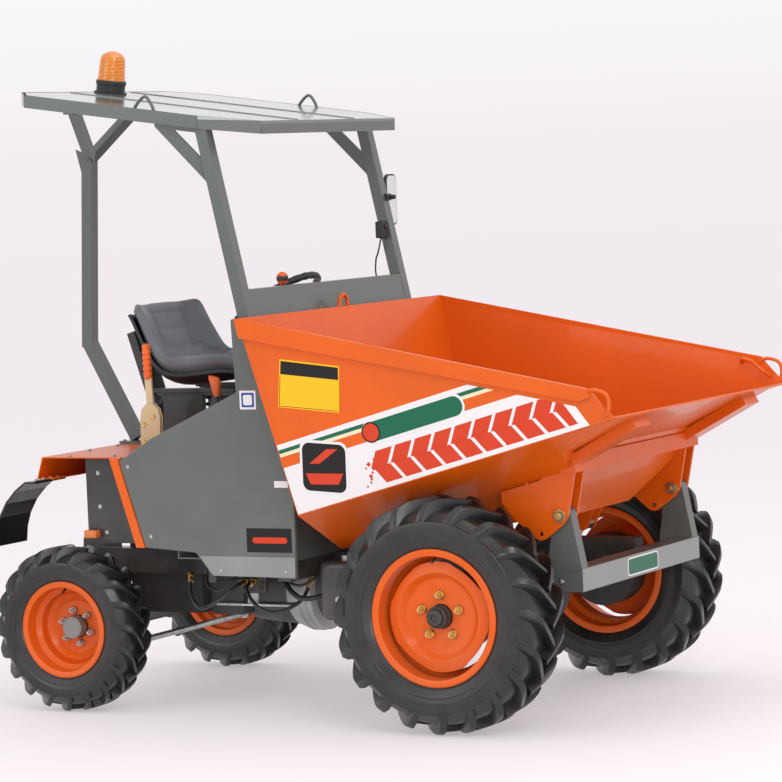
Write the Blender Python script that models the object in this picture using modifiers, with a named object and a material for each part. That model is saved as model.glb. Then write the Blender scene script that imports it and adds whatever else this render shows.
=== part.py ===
"""Site dumper: a small four-wheel machine with a front-tipping skip, a driver's seat over a rear
engine, rear-wheel steering and a flat canopy.

Metres, +Z up. The machine faces -Y, its right side is at -X, and the origin is on the ground at
the middle of its length and width.
"""

from math import atan2, cos, pi, radians, sin, sqrt

import bmesh
import bpy
from mathutils import Matrix, Vector

# ---------------------------------------------------------------- driving dimensions

GAP = 0.0003  # between pieces that touch

# Wheels. The track is the distance between the tyres' middle planes.
FRONT_AXLE_Y = -0.578
WHEELBASE = 1.512
REAR_AXLE_Y = FRONT_AXLE_Y + WHEELBASE
FRONT_TRACK = 1.276
REAR_TRACK = 1.052
FRONT_TYRE_RADIUS = 0.380
FRONT_TYRE_WIDTH = 0.250
REAR_TYRE_RADIUS = 0.284
REAR_TYRE_WIDTH = 0.170
FRONT_RIM = {"flange": 0.2225, "seat": 0.204, "width": 0.212, "disc_set_back": 0.055, "wall": 0.006}
REAR_RIM = {"flange": 0.166, "seat": 0.150, "width": 0.139, "disc_set_back": 0.094, "wall": 0.006}
HUB_HOLE = 0.040

# Chassis
RAIL_X = 0.250
RAIL_WIDTH = 0.060
RAIL_BOTTOM = 0.445
RAIL_TOP = 0.530
RAIL_REAR_Y = 1.060
ENGINE_HALF_WIDTH = 0.215
BUMPER_Y = -0.977
BUMPER_HALF_WIDTH = 0.465
BUMPER_BOTTOM = 0.437
BUMPER_TOP = 0.512
BUMPER_PLATE = 0.010
BUMPER_SIDE_LENGTH = 0.125

# Skip hinge
PIN_Y = -0.911
PIN_Z = 0.683
PIN_X = 0.440
PIN_RADIUS = 0.016
ARM_WIDTH = 0.044

# Skip, as corner places on its outer face
SKIP_HALF_WIDTH = 0.712
SKIP_SHEET = 0.006
RIM_REAR = (0.116, 1.342)
RIM_FRONT = (-1.127, 1.107)
LIP = (-1.217, 1.012)
RAMP_FOOT = (-0.982, 0.893)
BELLY_FRONT = (-0.842, 0.660)
BELLY_REAR = (-0.067, 0.557)
BEND_REAR = (-0.049, 0.693)
WALL_LEAN = 0.092  # how far a side wall comes in for each metre that it goes down
BEND_RISE = 0.272  # how far the side bend climbs for each metre towards the lip
BELLY_HALF_REAR = 0.410
BELLY_HALF_FRONT = 0.200
RAMP_HALF = 0.585
RIM_BAND_HEIGHT = 0.064
RIM_BAND_PROUD = 0.008

# Cab front, posts and canopy
POST_SIZE = 0.042
POST_OUTER_X = 0.572
POST_LEAN = 0.216  # rearwards for each metre up
DASH_TOP = 1.430
DASH_TOP_Y = 0.174
DASH_FOOT_Z = 0.734
BULKHEAD_Y = DASH_TOP_Y - POST_LEAN * (DASH_TOP - DASH_FOOT_Z)
FLOOR_Z = 0.534
PANEL_BOTTOM = 0.475
SHEET = 0.004
PANEL_THICKNESS = 0.020
ROOF_HALF_WIDTH = 0.585
ROOF_FRONT_Y = 0.133
ROOF_REAR_Y = 1.078
ROOF_FRONT_TOP = 1.984
ROOF_REAR_TOP = 2.122
ROOF_DEPTH = 0.042
ROOF_RAIL = 0.030
ROOF_SKIN = 0.006
ROOF_CHAMFER_X = 0.120
ROOF_CHAMFER_FRONT = 0.175
ROOF_CHAMFER_REAR = 0.090
REAR_POST_SIZE = 0.042
HAUNCH_FOOT = 1.785
HAUNCH_REACH = 0.165

# Rear body
PLATFORM_TOP = 0.872
PLATFORM_HALF_WIDTH = 0.545
PLATFORM_FRONT_Y = 0.560
PLATFORM_REAR_Y = 1.018
MUDGUARD_INNER_X = 0.455
MUDGUARD_OUTER_X = 0.640

# Seat
SEAT_Y = 0.600
SEAT_BOTTOM = 1.052
SEAT_WIDTH = 0.460

# Steering
KINGPIN_X = 0.395
STEER_ARM = 0.150
WHEEL_CENTRE = Vector((0.050, 0.405, 1.365))
WHEEL_RADIUS = 0.175
COLUMN_TILT = radians(32)

# Tipping cylinder, beside the gear case
BARREL_PIN = Vector((0.118, -0.150, 0.360))
ROD_PIN = Vector((0.118, -0.720, 0.592))
BARREL_RADIUS = 0.034
BARREL_BORE = 0.0205
BARREL_LENGTH = 0.500
ROD_RADIUS = 0.019
ROD_REACH = 0.520
CYLINDER_PIN = 0.010

# ---------------------------------------------------------------- scene and helpers

for old in list(bpy.context.scene.objects):
    bpy.data.objects.remove(old, do_unlink=True)

DUMPER = bpy.data.collections.new("site_dumper")
CUTTERS = bpy.data.collections.new("cutters")
for collection in (DUMPER, CUTTERS):
    bpy.context.scene.collection.children.link(collection)


def material(name, colour, roughness, metallic=0.0):
    made = bpy.data.materials.new(name)
    made.use_nodes = True
    shader = made.node_tree.nodes["Principled BSDF"]
    shader.inputs["Base Color"].default_value = (*colour, 1.0)
    shader.inputs["Roughness"].default_value = roughness
    shader.inputs["Metallic"].default_value = metallic
    return made


ORANGE = (0.80, 0.14, 0.01)
GREY = (0.13, 0.14, 0.13)
LIGHT_GREY = (0.42, 0.44, 0.42)
BLACK = (0.012, 0.012, 0.012)
RUBBER = (0.02, 0.02, 0.021)


def node(obj, name, colour, roughness=0.45, metallic=0.0):
    """Names an object as a finished piece and gives it a material of its own."""
    obj.name = name
    obj.data.name = name
    obj.data.materials.clear()
    obj.data.materials.append(material(name + "_finish", colour, roughness, metallic))
    return obj


def face_outwards(bm):
    bmesh.ops.recalc_face_normals(bm, faces=bm.faces)
    if bm.calc_volume(signed=True) < 0:
        bmesh.ops.reverse_faces(bm, faces=bm.faces)


def from_bmesh(bm, smooth=False):
    mesh = bpy.data.meshes.new("shape")
    face_outwards(bm)
    bm.to_mesh(mesh)
    bm.free()
    obj = bpy.data.objects.new("shape", mesh)
    DUMPER.objects.link(obj)
    if smooth:
        mesh.shade_smooth()
        mesh.set_sharp_from_angle(angle=radians(35))
    return obj


def box(low, high):
    """A box between two corners."""
    low, high = Vector(low), Vector(high)
    bm = bmesh.new()
    bmesh.ops.create_cube(bm, size=1.0)
    size = Matrix.Diagonal((*(high - low), 1.0))
    bm.transform(Matrix.Translation((low + high) / 2) @ size)
    return from_bmesh(bm)


def mirrored_box(low, high):
    """The same box on the other side of the machine."""
    return box((-high[0], low[1], low[2]), (-low[0], high[1], high[2]))


def side_box(side, low, high):
    return box(low, high) if side > 0 else mirrored_box(low, high)


def bar(start, end, across, deep, up=(1, 0, 0)):
    """A straight square bar; 'across' lies along 'up' and 'deep' lies square to it."""
    start, end, up = Vector(start), Vector(end), Vector(up)
    along = (end - start).normalized()
    first = (up - along * up.dot(along)).normalized()
    second = along.cross(first)
    turn = Matrix((first, second, along)).transposed().to_4x4()
    bm = bmesh.new()
    bmesh.ops.create_cube(bm, size=1.0)
    bm.transform(Matrix.Diagonal((across, deep, (end - start).length, 1.0)))
    bm.transform(Matrix.Translation((start + end) / 2) @ turn)
    return from_bmesh(bm)


def rod(start, end, radius, sides=24, end_radius=None):
    """A round bar or a cone between two points."""
    start, end = Vector(start), Vector(end)
    turn = (end - start).to_track_quat("Z", "Y").to_matrix().to_4x4()
    bm = bmesh.new()
    far = radius if end_radius is None else end_radius
    bmesh.ops.create_cone(bm, cap_ends=True, segments=sides, radius1=radius, radius2=far,
                          depth=(end - start).length)
    bm.transform(Matrix.Translation((start + end) / 2) @ turn)
    return from_bmesh(bm, smooth=True)


def as_mesh(obj):
    """Turns a curve or an object with modifiers into a plain welded mesh object."""
    evaluated = obj.evaluated_get(bpy.context.evaluated_depsgraph_get())
    mesh = bpy.data.meshes.new_from_object(evaluated)
    bm = bmesh.new()
    bm.from_mesh(mesh)
    bmesh.ops.remove_doubles(bm, verts=bm.verts, dist=0.00005)
    face_outwards(bm)
    bm.to_mesh(mesh)
    bm.free()
    made = bpy.data.objects.new("shape", mesh)
    made.matrix_world = obj.matrix_world.copy()
    DUMPER.objects.link(made)
    bpy.data.objects.remove(obj, do_unlink=True)
    return made


def curve_object(points, cyclic, dimensions):
    curve = bpy.data.curves.new("outline", "CURVE")
    curve.dimensions = dimensions
    spline = curve.splines.new("POLY")
    spline.points.add(len(points) - 1)
    for place, point in zip(spline.points, points):
        place.co = (*point, 1.0)
    spline.use_cyclic_u = cyclic
    curve.render_resolution_u = 0
    obj = bpy.data.objects.new("outline", curve)
    DUMPER.objects.link(obj)
    return obj


def plate_x(outline, near, far):
    """A plate square to X from an outline of (y, z) points, between two X places."""
    obj = curve_object([(y, z, 0.0) for y, z in outline], True, "2D")
    obj.data.fill_mode = "BOTH"
    obj.data.extrude = abs(far - near) / 2
    axes = Matrix(((0, 0, 1), (1, 0, 0), (0, 1, 0))).to_4x4()
    obj.matrix_world = Matrix.Translation(((near + far) / 2, 0, 0)) @ axes
    bpy.context.view_layer.update()
    return flattened(as_mesh(obj))


def plate_z(outline, low, high):
    """A plate square to Z from an outline of (x, y) points."""
    obj = curve_object([(x, y, 0.0) for x, y in outline], True, "2D")
    obj.data.fill_mode = "BOTH"
    obj.data.extrude = (high - low) / 2
    obj.matrix_world = Matrix.Translation((0, 0, (low + high) / 2))
    bpy.context.view_layer.update()
    return flattened(as_mesh(obj))


def flattened(obj):
    """Moves an object's own transform into its mesh."""
    obj.data.transform(obj.matrix_world)
    obj.matrix_world = Matrix.Identity(4)
    return obj


def bent_tube(points, radius, sides=2):
    """A round tube through points, with closed ends."""
    obj = curve_object(points, False, "3D")
    obj.data.bevel_depth = radius
    obj.data.bevel_resolution = sides
    obj.data.use_fill_caps = True
    bpy.context.view_layer.update()
    return as_mesh(obj)


def turned(profile, steps=48, axis="X"):
    """A turned solid from a closed profile of (along, radius) points about the X or Y axis."""
    bm = bmesh.new()
    around = Vector((1, 0, 0)) if axis == "X" else Vector((0, 1, 0))
    places = [around * along + Vector((0, 0, radius)) for along, radius in profile]
    verts = [bm.verts.new(place) for place in places]
    edges = [bm.edges.new((verts[i - 1], verts[i])) for i in range(len(verts))]
    bmesh.ops.spin(bm, geom=verts + edges, cent=(0, 0, 0), axis=around, angle=2 * pi,
                   steps=steps, use_merge=True)
    bmesh.ops.remove_doubles(bm, verts=bm.verts, dist=0.00002)
    return from_bmesh(bm, smooth=True)


def move(obj, *offset):
    obj.data.transform(Matrix.Translation(offset))
    return obj


def as_tool(obj, name):
    """Keeps a shape that a Boolean uses, out of the render."""
    CUTTERS.objects.link(obj)
    DUMPER.objects.unlink(obj)
    obj.hide_render = True
    obj.display_type = "WIRE"
    obj.name = name + "_tool"
    return obj


def boolean(target, tools, operation):
    for tool in tools:
        modifier = target.modifiers.new(operation.lower(), "BOOLEAN")
        modifier.operation = operation
        modifier.object = as_tool(tool, operation.lower())
        modifier.solver = "EXACT"
    return target


def join(target, *tools):
    return boolean(target, tools, "UNION")


def cut(target, *tools):
    return boolean(target, tools, "DIFFERENCE")


def settled(obj):
    """The object with its modifiers worked in, for use as a tool or a copy."""
    bpy.context.view_layer.update()
    return as_mesh(obj)


def bevelled(obj, width, segments=2, angle=radians(40)):
    modifier = obj.modifiers.new("edges", "BEVEL")
    modifier.width = width
    modifier.segments = segments
    modifier.limit_method = "ANGLE"
    modifier.angle_limit = angle
    return obj


def axis_empty(name, place):
    empty = bpy.data.objects.new(name, None)
    empty.location = place
    DUMPER.objects.link(empty)
    return empty


def hang_on(obj, empty):
    """Parents a piece to its joint's empty, with the piece's own origin on the axis."""
    place = Vector(empty.location)
    obj.data.transform(Matrix.Translation(-place))
    obj.parent = empty
    return obj


def arc(centre, radius, start, end, count):
    """Points on an arc, angles in degrees."""
    points = []
    for i in range(count):
        angle = radians(start + (end - start) * i / (count - 1))
        points.append((centre[0] + radius * cos(angle), centre[1] + radius * sin(angle)))
    return points


# ---------------------------------------------------------------- wheels


def tyre_profile(radius, width, rim):
    """One closed section of a tyre, as (along the axle, radius) points."""
    half = width / 2
    bead = rim["width"] / 2 - rim["wall"] - GAP
    wall = radius - rim["flange"]
    side = [
        (bead, rim["seat"] + GAP),
        (bead, rim["flange"] + 0.004),
        (half - 0.005, rim["flange"] + 0.30 * wall),
        (half, rim["flange"] + 0.52 * wall),
        (half - 0.006, rim["flange"] + 0.74 * wall),
        (half - 0.020, radius - 0.022),
        (half - 0.045, radius - 0.008),
        (half - 0.080, radius),
    ]
    return side + [(-along, r) for along, r in reversed(side)]


def rim_profile(rim, side):
    """One closed section of a rim: its flanges, its barrel and the dished disc with a hub hole."""
    half = rim["width"] / 2
    wall = rim["wall"]
    seat, flange = rim["seat"], rim["flange"]
    face = half - rim["disc_set_back"]
    back = face - 0.010
    dish = 0.022
    inside = seat - wall
    knee = inside * 0.62
    section = [
        (half, flange), (half, inside), (face + dish * 0.4, inside), (face + dish, knee + 0.020),
        (face, knee), (face, HUB_HOLE), (back, HUB_HOLE), (back, knee + 0.006),
        (back + dish, knee + 0.026), (back + dish * 0.4, inside), (-half, inside), (-half, flange),
        (-half + wall, flange), (-half + wall, seat), (half - wall, seat), (half - wall, flange),
    ]
    return [(side * along, r) for along, r in section]


def wheel(corner, side, centre, radius, width, rim):
    axis = axis_empty("wheel_" + corner + "_axis", centre)
    tyre = turned(tyre_profile(radius, width, rim), 48)
    node(tyre, "tyre_" + corner, RUBBER, 0.85)
    tyre.parent = axis
    rim_ring = turned(rim_profile(rim, side), 48)
    rim_ring.parent = axis
    node(rim_ring, "rim_" + corner, ORANGE, 0.35)
    return axis


for side, word in ((-1, "right"), (1, "left")):
    wheel("front_" + word, side, (side * FRONT_TRACK / 2, FRONT_AXLE_Y, FRONT_TYRE_RADIUS),
          FRONT_TYRE_RADIUS, FRONT_TYRE_WIDTH, FRONT_RIM)
    wheel("rear_" + word, side, (side * REAR_TRACK / 2, REAR_AXLE_Y, REAR_TYRE_RADIUS),
          REAR_TYRE_RADIUS, REAR_TYRE_WIDTH, REAR_RIM)


# ---------------------------------------------------------------- chassis


def chassis_frame():
    front = BUMPER_Y + BUMPER_SIDE_LENGTH + GAP
    rails = [side_box(s, (RAIL_X - RAIL_WIDTH / 2, front, RAIL_BOTTOM),
                      (RAIL_X + RAIL_WIDTH / 2, RAIL_REAR_Y, RAIL_TOP)) for s in (1, -1)]
    cross = []
    for y, half in ((front + 0.03, BUMPER_HALF_WIDTH - 0.002), (RAIL_REAR_Y - 0.03, RAIL_X)):
        cross.append(box((-half, y - 0.03, RAIL_BOTTOM + 0.002), (half, y + 0.03, RAIL_TOP - 0.055)))
    for s in (1, -1):
        cross.append(side_box(s, (RAIL_X, 0.035, RAIL_BOTTOM + 0.020), (POST_OUTER_X, 0.085, FLOOR_Z - GAP)))
        cross.append(side_box(s, (ENGINE_HALF_WIDTH + GAP, 0.800, 0.460), (RAIL_X, 0.860, 0.500)))
        cross.append(side_box(s, (RAIL_X - 0.005, 0.700, RAIL_TOP - 0.010), (RAIL_X + 0.030, 0.760, 0.620)))
    frame = rails[0]
    join(frame, rails[1], *cross)
    for s in (1, -1):
        join(frame, side_box(s, (RAIL_X - 0.005, 0.50, RAIL_TOP - 0.01), (RAIL_X + 0.02, 0.56, 0.80)))
    hitch = box((-0.05, RAIL_REAR_Y - 0.05, 0.38), (0.05, RAIL_REAR_Y + 0.012, 0.47))
    join(frame, hitch)
    x, y, z = BARREL_PIN
    join(frame, box((x + 0.034, y - 0.030, z - 0.030), (x + 0.048, y + 0.030, RAIL_BOTTOM + 0.030)))
    join(frame, box((x + 0.040, y - 0.030, RAIL_BOTTOM + 0.004), (RAIL_X - 0.010, y + 0.030, RAIL_BOTTOM + 0.030)))
    join(frame, rod((x - 0.034, y, z), (x + 0.040, y, z), CYLINDER_PIN, 16))
    return node(frame, "chassis_frame", BLACK, 0.5)


def front_bumper():
    """The front cross plate with its two side plates and the arms that carry the skip's pins."""
    back = BUMPER_Y + BUMPER_SIDE_LENGTH
    half = BUMPER_HALF_WIDTH
    face = box((-half, BUMPER_Y, BUMPER_BOTTOM), (half, BUMPER_Y + BUMPER_PLATE, BUMPER_TOP))
    shelf = box((-half, BUMPER_Y, BUMPER_TOP - 0.008), (half, BUMPER_Y + 0.070, BUMPER_TOP))
    join(face, shelf)
    arm_out = PIN_X + ARM_WIDTH / 2
    arm_in = PIN_X - ARM_WIDTH / 2
    tip = arc((PIN_Y, PIN_Z), 0.030, 10, 170, 9)
    outline = [(BUMPER_Y + 0.002, BUMPER_BOTTOM), (back, BUMPER_BOTTOM), (back, BUMPER_TOP), *tip,
               (BUMPER_Y + 0.002, BUMPER_TOP - 0.004)]
    for s in (1, -1):
        join(face, plate_x(outline, s * arm_in, s * arm_out))
        join(face, rod((s * (arm_in - 0.030), PIN_Y, PIN_Z), (s * (arm_out + 0.030), PIN_Y, PIN_Z),
                       PIN_RADIUS, 20))
    return node(face, "front_bumper", LIGHT_GREY, 0.4)


def front_axle():
    """A rigid driven axle: casing tubes, a round differential housing and the brake drums."""
    z = FRONT_TYRE_RADIUS
    plane = FRONT_TRACK / 2
    face = plane + FRONT_RIM["width"] / 2 - FRONT_RIM["disc_set_back"]
    axle = rod((-plane, FRONT_AXLE_Y, z), (plane, FRONT_AXLE_Y, z), 0.048)
    bm = bmesh.new()
    bmesh.ops.create_uvsphere(bm, u_segments=20, v_segments=12, radius=0.115)
    bm.transform(Matrix.Translation((0, FRONT_AXLE_Y, z - 0.01)))
    join(axle, from_bmesh(bm, smooth=True))
    for s in (1, -1):
        join(axle, rod((s * (plane - 0.110), FRONT_AXLE_Y, z), (s * (plane - 0.012), FRONT_AXLE_Y, z), 0.125, 32))
        join(axle, rod((s * (plane - 0.020), FRONT_AXLE_Y, z), (s * (face - 0.0108), FRONT_AXLE_Y, z), 0.085, 32))
        join(axle, rod((s * (face - 0.030), FRONT_AXLE_Y, z), (s * (face + 0.030), FRONT_AXLE_Y, z), 0.036, 24))
        join(axle, side_box(s, (RAIL_X - 0.045, FRONT_AXLE_Y - 0.05, z), (RAIL_X + 0.045, FRONT_AXLE_Y + 0.05,
                                                                       RAIL_BOTTOM - GAP)))
    return node(axle, "front_axle", BLACK, 0.5)


def gearbox():
    """Bell housing, flange, gear case and the torque tube to the front axle, about one long axis."""
    nose = FRONT_AXLE_Y + 0.135
    profile = [(0.490, 0.0), (0.490, 0.120), (0.270, 0.140), (0.262, 0.150), (0.236, 0.150), (0.236, 0.128),
               (0.180, 0.112), (0.030, 0.096), (-0.050, 0.058), (nose, 0.050), (nose, 0.0)]
    case = turned(profile, 36, "Y")
    move(case, 0, 0, 0.376)
    join(case, box((-0.16, 0.470, 0.290), (0.10, 0.600, 0.440)))
    return node(case, "gearbox", LIGHT_GREY, 0.4)


def engine_block():
    half = ENGINE_HALF_WIDTH
    block = box((-half, 0.600 + GAP, 0.300), (half, 0.890, 0.800))
    return node(block, "engine_block", (0.05, 0.05, 0.05), 0.6)


def rear_axle():
    """The steered axle's beam, hung from the chassis by a middle pivot bracket."""
    z = REAR_TYRE_RADIUS
    beam = box((-KINGPIN_X + 0.060, REAR_AXLE_Y - 0.035, z - 0.035), (KINGPIN_X - 0.060, REAR_AXLE_Y + 0.035, z + 0.035))
    bracket = [(REAR_AXLE_Y - 0.028, z), (REAR_AXLE_Y + 0.100, RAIL_BOTTOM - GAP), (REAR_AXLE_Y - 0.010, RAIL_BOTTOM - GAP)]
    for s in (1, -1):
        lug = rod((s * KINGPIN_X, REAR_AXLE_Y, z - 0.026), (s * KINGPIN_X, REAR_AXLE_Y, z + 0.026), 0.030, 24)
        neck = side_box(s, (KINGPIN_X - 0.080, REAR_AXLE_Y - 0.022, z - 0.022), (KINGPIN_X, REAR_AXLE_Y + 0.022, z + 0.022))
        pin = rod((s * KINGPIN_X, REAR_AXLE_Y, z - 0.060), (s * KINGPIN_X, REAR_AXLE_Y, z + 0.060), 0.013, 16)
        join(beam, lug, neck, pin)
        post = side_box(s, (RAIL_X - 0.025, REAR_AXLE_Y - 0.030, z + 0.020), (RAIL_X + 0.010, REAR_AXLE_Y + 0.030,
                                                                           RAIL_BOTTOM - GAP))
        join(beam, post)
    return node(beam, "rear_axle", BLACK, 0.5)


def knuckle(side, word):
    """A fork over the beam's end, its stub and drum, and a steering arm that points forwards."""
    z = REAR_TYRE_RADIUS
    x = KINGPIN_X
    fork = side_box(side, (x - 0.028, REAR_AXLE_Y - 0.028, z - 0.052), (x + 0.028, REAR_AXLE_Y + 0.028, z - 0.030))
    join(fork, side_box(side, (x - 0.028, REAR_AXLE_Y - 0.028, z + 0.030), (x + 0.028, REAR_AXLE_Y + 0.028, z + 0.052)))
    join(fork, side_box(side, (x + 0.036, REAR_AXLE_Y - 0.028, z - 0.052), (x + 0.050, REAR_AXLE_Y + 0.028, z + 0.052)))
    for low, high in ((-0.052, -0.030), (0.030, 0.052)):
        join(fork, side_box(side, (x + 0.020, REAR_AXLE_Y - 0.028, z + low), (x + 0.040, REAR_AXLE_Y + 0.028, z + high)))
    face = REAR_TRACK / 2 + REAR_RIM["width"] / 2 - REAR_RIM["disc_set_back"]
    join(fork, rod((side * (x + 0.048), REAR_AXLE_Y, z), (side * (face - 0.0108), REAR_AXLE_Y, z), 0.085, 28))
    join(fork, rod((side * (face - 0.030), REAR_AXLE_Y, z), (side * (face + 0.036), REAR_AXLE_Y, z), 0.036, 24))
    cut(fork, rod((side * x, REAR_AXLE_Y, z - 0.08), (side * x, REAR_AXLE_Y, z + 0.08), 0.0138, 16))
    arm = bar((side * (x + 0.010), REAR_AXLE_Y - 0.020, z - 0.045), (side * (x - 0.035), REAR_AXLE_Y - STEER_ARM, z - 0.045),
              0.030, 0.014, up=(1, 0, 0))
    join(fork, arm)
    node(fork, "knuckle_rear_" + word, BLACK, 0.5)
    axis = axis_empty("steer_" + word + "_axis", (side * x, REAR_AXLE_Y, z))
    return hang_on(fork, axis)


def tie_rod():
    """Joins the two steering arms, just under them."""
    z = REAR_TYRE_RADIUS - 0.045 - 0.007 - 0.016
    x = KINGPIN_X - 0.035
    y = REAR_AXLE_Y - STEER_ARM
    link = rod((-x, y, z), (x, y, z), 0.011, 16)
    for s in (1, -1):
        join(link, rod((s * x, y, z - 0.014), (s * x, y, z + 0.0155), 0.017, 20))
    node(link, "tie_rod", (0.35, 0.35, 0.34), 0.4, 0.6)
    return hang_on(link, axis_empty("tie_rod_axis", (-x, y, z)))


chassis_frame()
front_bumper()
front_axle()
gearbox()
engine_block()
rear_axle()
for side, word in ((-1, "right"), (1, "left")):
    knuckle(side, word)
tie_rod()


# ---------------------------------------------------------------- cab and rear body


def post_front_y(z):
    """Front face of the front posts, and of the sheet between them, at a height."""
    if z <= DASH_FOOT_Z:
        return BULKHEAD_Y
    return DASH_TOP_Y + POST_LEAN * (z - DASH_TOP)


def front_bulkhead():
    """One sheet from the floor to the dash top, with a small return along its top edge."""
    half = POST_OUTER_X - POST_SIZE - GAP
    low = RAIL_TOP + GAP
    outline = [(BULKHEAD_Y, low), (post_front_y(DASH_FOOT_Z), DASH_FOOT_Z), (DASH_TOP_Y, DASH_TOP),
               (DASH_TOP_Y + 0.034, DASH_TOP), (DASH_TOP_Y + 0.034, DASH_TOP - SHEET),
               (DASH_TOP_Y + SHEET, DASH_TOP - SHEET - 0.004), (post_front_y(DASH_FOOT_Z) + SHEET, DASH_FOOT_Z),
               (BULKHEAD_Y + SHEET, low)]
    return node(plate_x(outline, -half, half), "front_bulkhead", GREY, 0.4)


def floor_plate():
    low = FLOOR_Z
    y = BULKHEAD_Y + SHEET + GAP
    half = POST_OUTER_X
    plate = box((-half, y, low), (half, 0.470, low + SHEET))
    join(plate, box((-half, 0.470 - SHEET, low), (half, 0.470, 0.850)))
    join(plate, box((-half, 0.470 - SHEET, 0.846), (half, PLATFORM_FRONT_Y - GAP, 0.850)))
    return node(plate, "floor_plate", GREY, 0.5)


def right_outline():
    return [
        (0.004, PANEL_BOTTOM), (0.000, DASH_FOOT_Z), (post_front_y(1.336) - 0.004, 1.336),
        (post_front_y(1.336) + 0.060, 1.336), (0.205, 1.093), (0.546, 0.940), (0.678, 0.862),
        (0.586, 0.571), (0.389, 0.557), (0.334, 0.490),
    ]


def left_outline():
    """The entry side: the same sheet with a low sill to step over."""
    return [
        (0.004, PANEL_BOTTOM), (0.000, DASH_FOOT_Z), (post_front_y(1.336) - 0.004, 1.336),
        (post_front_y(1.336) + 0.060, 1.336), (0.205, 1.020), (0.235, 0.640), (0.455, 0.640),
        (0.500, 0.862), (0.678, 0.862), (0.586, 0.571), (0.389, 0.557), (0.334, 0.490),
    ]


def side_panel(side, outline, word):
    inner = POST_OUTER_X + GAP
    panel = plate_x(outline, side * inner, side * (inner + PANEL_THICKNESS))
    bevelled(panel, 0.006)
    return node(panel, "side_panel_" + word, GREY, 0.4)


def rear_body():
    """The orange rear deck with its turned-down sides and rear flap."""
    half = PLATFORM_HALF_WIDTH
    top = PLATFORM_TOP
    deck = box((-half, PLATFORM_FRONT_Y, top - SHEET), (half, PLATFORM_REAR_Y, top))
    flap = [(PLATFORM_REAR_Y - SHEET, top - 0.002), (PLATFORM_REAR_Y, top), (PLATFORM_REAR_Y + 0.024, top - 0.076),
            (PLATFORM_REAR_Y - 0.044, top - 0.076), (PLATFORM_REAR_Y - 0.044, top - 0.072),
            (PLATFORM_REAR_Y + 0.019, top - 0.072)]
    join(deck, plate_x(flap, -half, half))
    edge = POST_OUTER_X + PANEL_THICKNESS
    cheek = [(0.6828, top), (0.7150, top), (0.6215, 0.571), (0.5878, 0.571)]
    for s in (1, -1):
        join(deck, side_box(s, (half - 0.010, 0.686, top - SHEET), (edge - 0.005, 0.711, top)))
        join(deck, plate_x(cheek, s * (edge - 0.024), s * edge))
    return node(deck, "rear_deck", ORANGE, 0.35)


def rear_side_plate(side, word):
    """The dark plate behind each side panel, down to the chassis."""
    top = PLATFORM_TOP - SHEET - GAP
    plate = plate_x([(0.640, top), (0.864, top), (0.864, 0.585), (0.600, 0.585), (0.600, 0.640)], side * 0.505, side * 0.511)
    join(plate, side_box(side, (RAIL_X + RAIL_WIDTH / 2 + GAP, 0.700, 0.595), (0.508, 0.760, 0.615)))
    return node(plate, "rear_side_plate_" + word, (0.06, 0.06, 0.06), 0.5)


def marker_lamp(side, word):
    lamp = rod((side * 0.5115, 0.838, 0.607), (side * 0.541, 0.838, 0.607), 0.018, 24)
    return node(lamp, "marker_lamp_" + word, (0.9, 0.18, 0.02), 0.25)


def mudguard(side, word):
    """A rubber sheet that hangs from the rear flap and curves down behind the tyre."""
    top = PLATFORM_TOP - 0.0765
    outer = [(0.985, top), (1.030, top), (1.072, 0.766), (1.112, 0.725), (1.142, 0.675), (1.158, 0.625), (1.164, 0.572)]
    inner = [(1.158, 0.572), (1.152, 0.624), (1.136, 0.672), (1.107, 0.720), (1.068, 0.760), (1.028, top - 0.006),
             (0.985, top - 0.006)]
    sheet = plate_x(outer + inner, side * MUDGUARD_INNER_X, side * MUDGUARD_OUTER_X)
    return node(sheet, "mudguard_" + word, BLACK, 0.5)


def seat_base():
    """Runners, a low frame under the seat and the bar that stands behind its back."""
    base = box((-0.16, 0.585, PLATFORM_TOP + GAP), (0.16, 0.800, 0.900))
    for x in (-0.15, 0.15):
        join(base, box((x - 0.012, 0.600, 0.895), (x + 0.012, 0.760, SEAT_BOTTOM - GAP)))
    join(base, bar((-0.05, 0.800, 0.880), (-0.05, 0.925, 1.270), 0.090, 0.030))
    join(base, box((-0.095, 0.770, 0.8725), (-0.005, 0.830, 0.900)))
    return node(base, "seat_base", BLACK, 0.5)


def seat():
    """A pan seat in one moulded piece, with raised sides."""
    half = SEAT_WIDTH / 2
    low = SEAT_BOTTOM
    side = [(0.400, low + 0.030), (0.430, low), (0.780, low), (0.842, low + 0.060), (0.925, low + 0.330),
            (0.905, low + 0.342), (0.870, low + 0.330), (0.770, low + 0.110), (0.720, low + 0.085),
            (0.430, low + 0.090), (0.402, low + 0.070)]
    pan = plate_x(side, -half, half)
    bevelled(pan, 0.012, 2)
    return node(pan, "seat", (0.05, 0.055, 0.06), 0.7)


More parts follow.
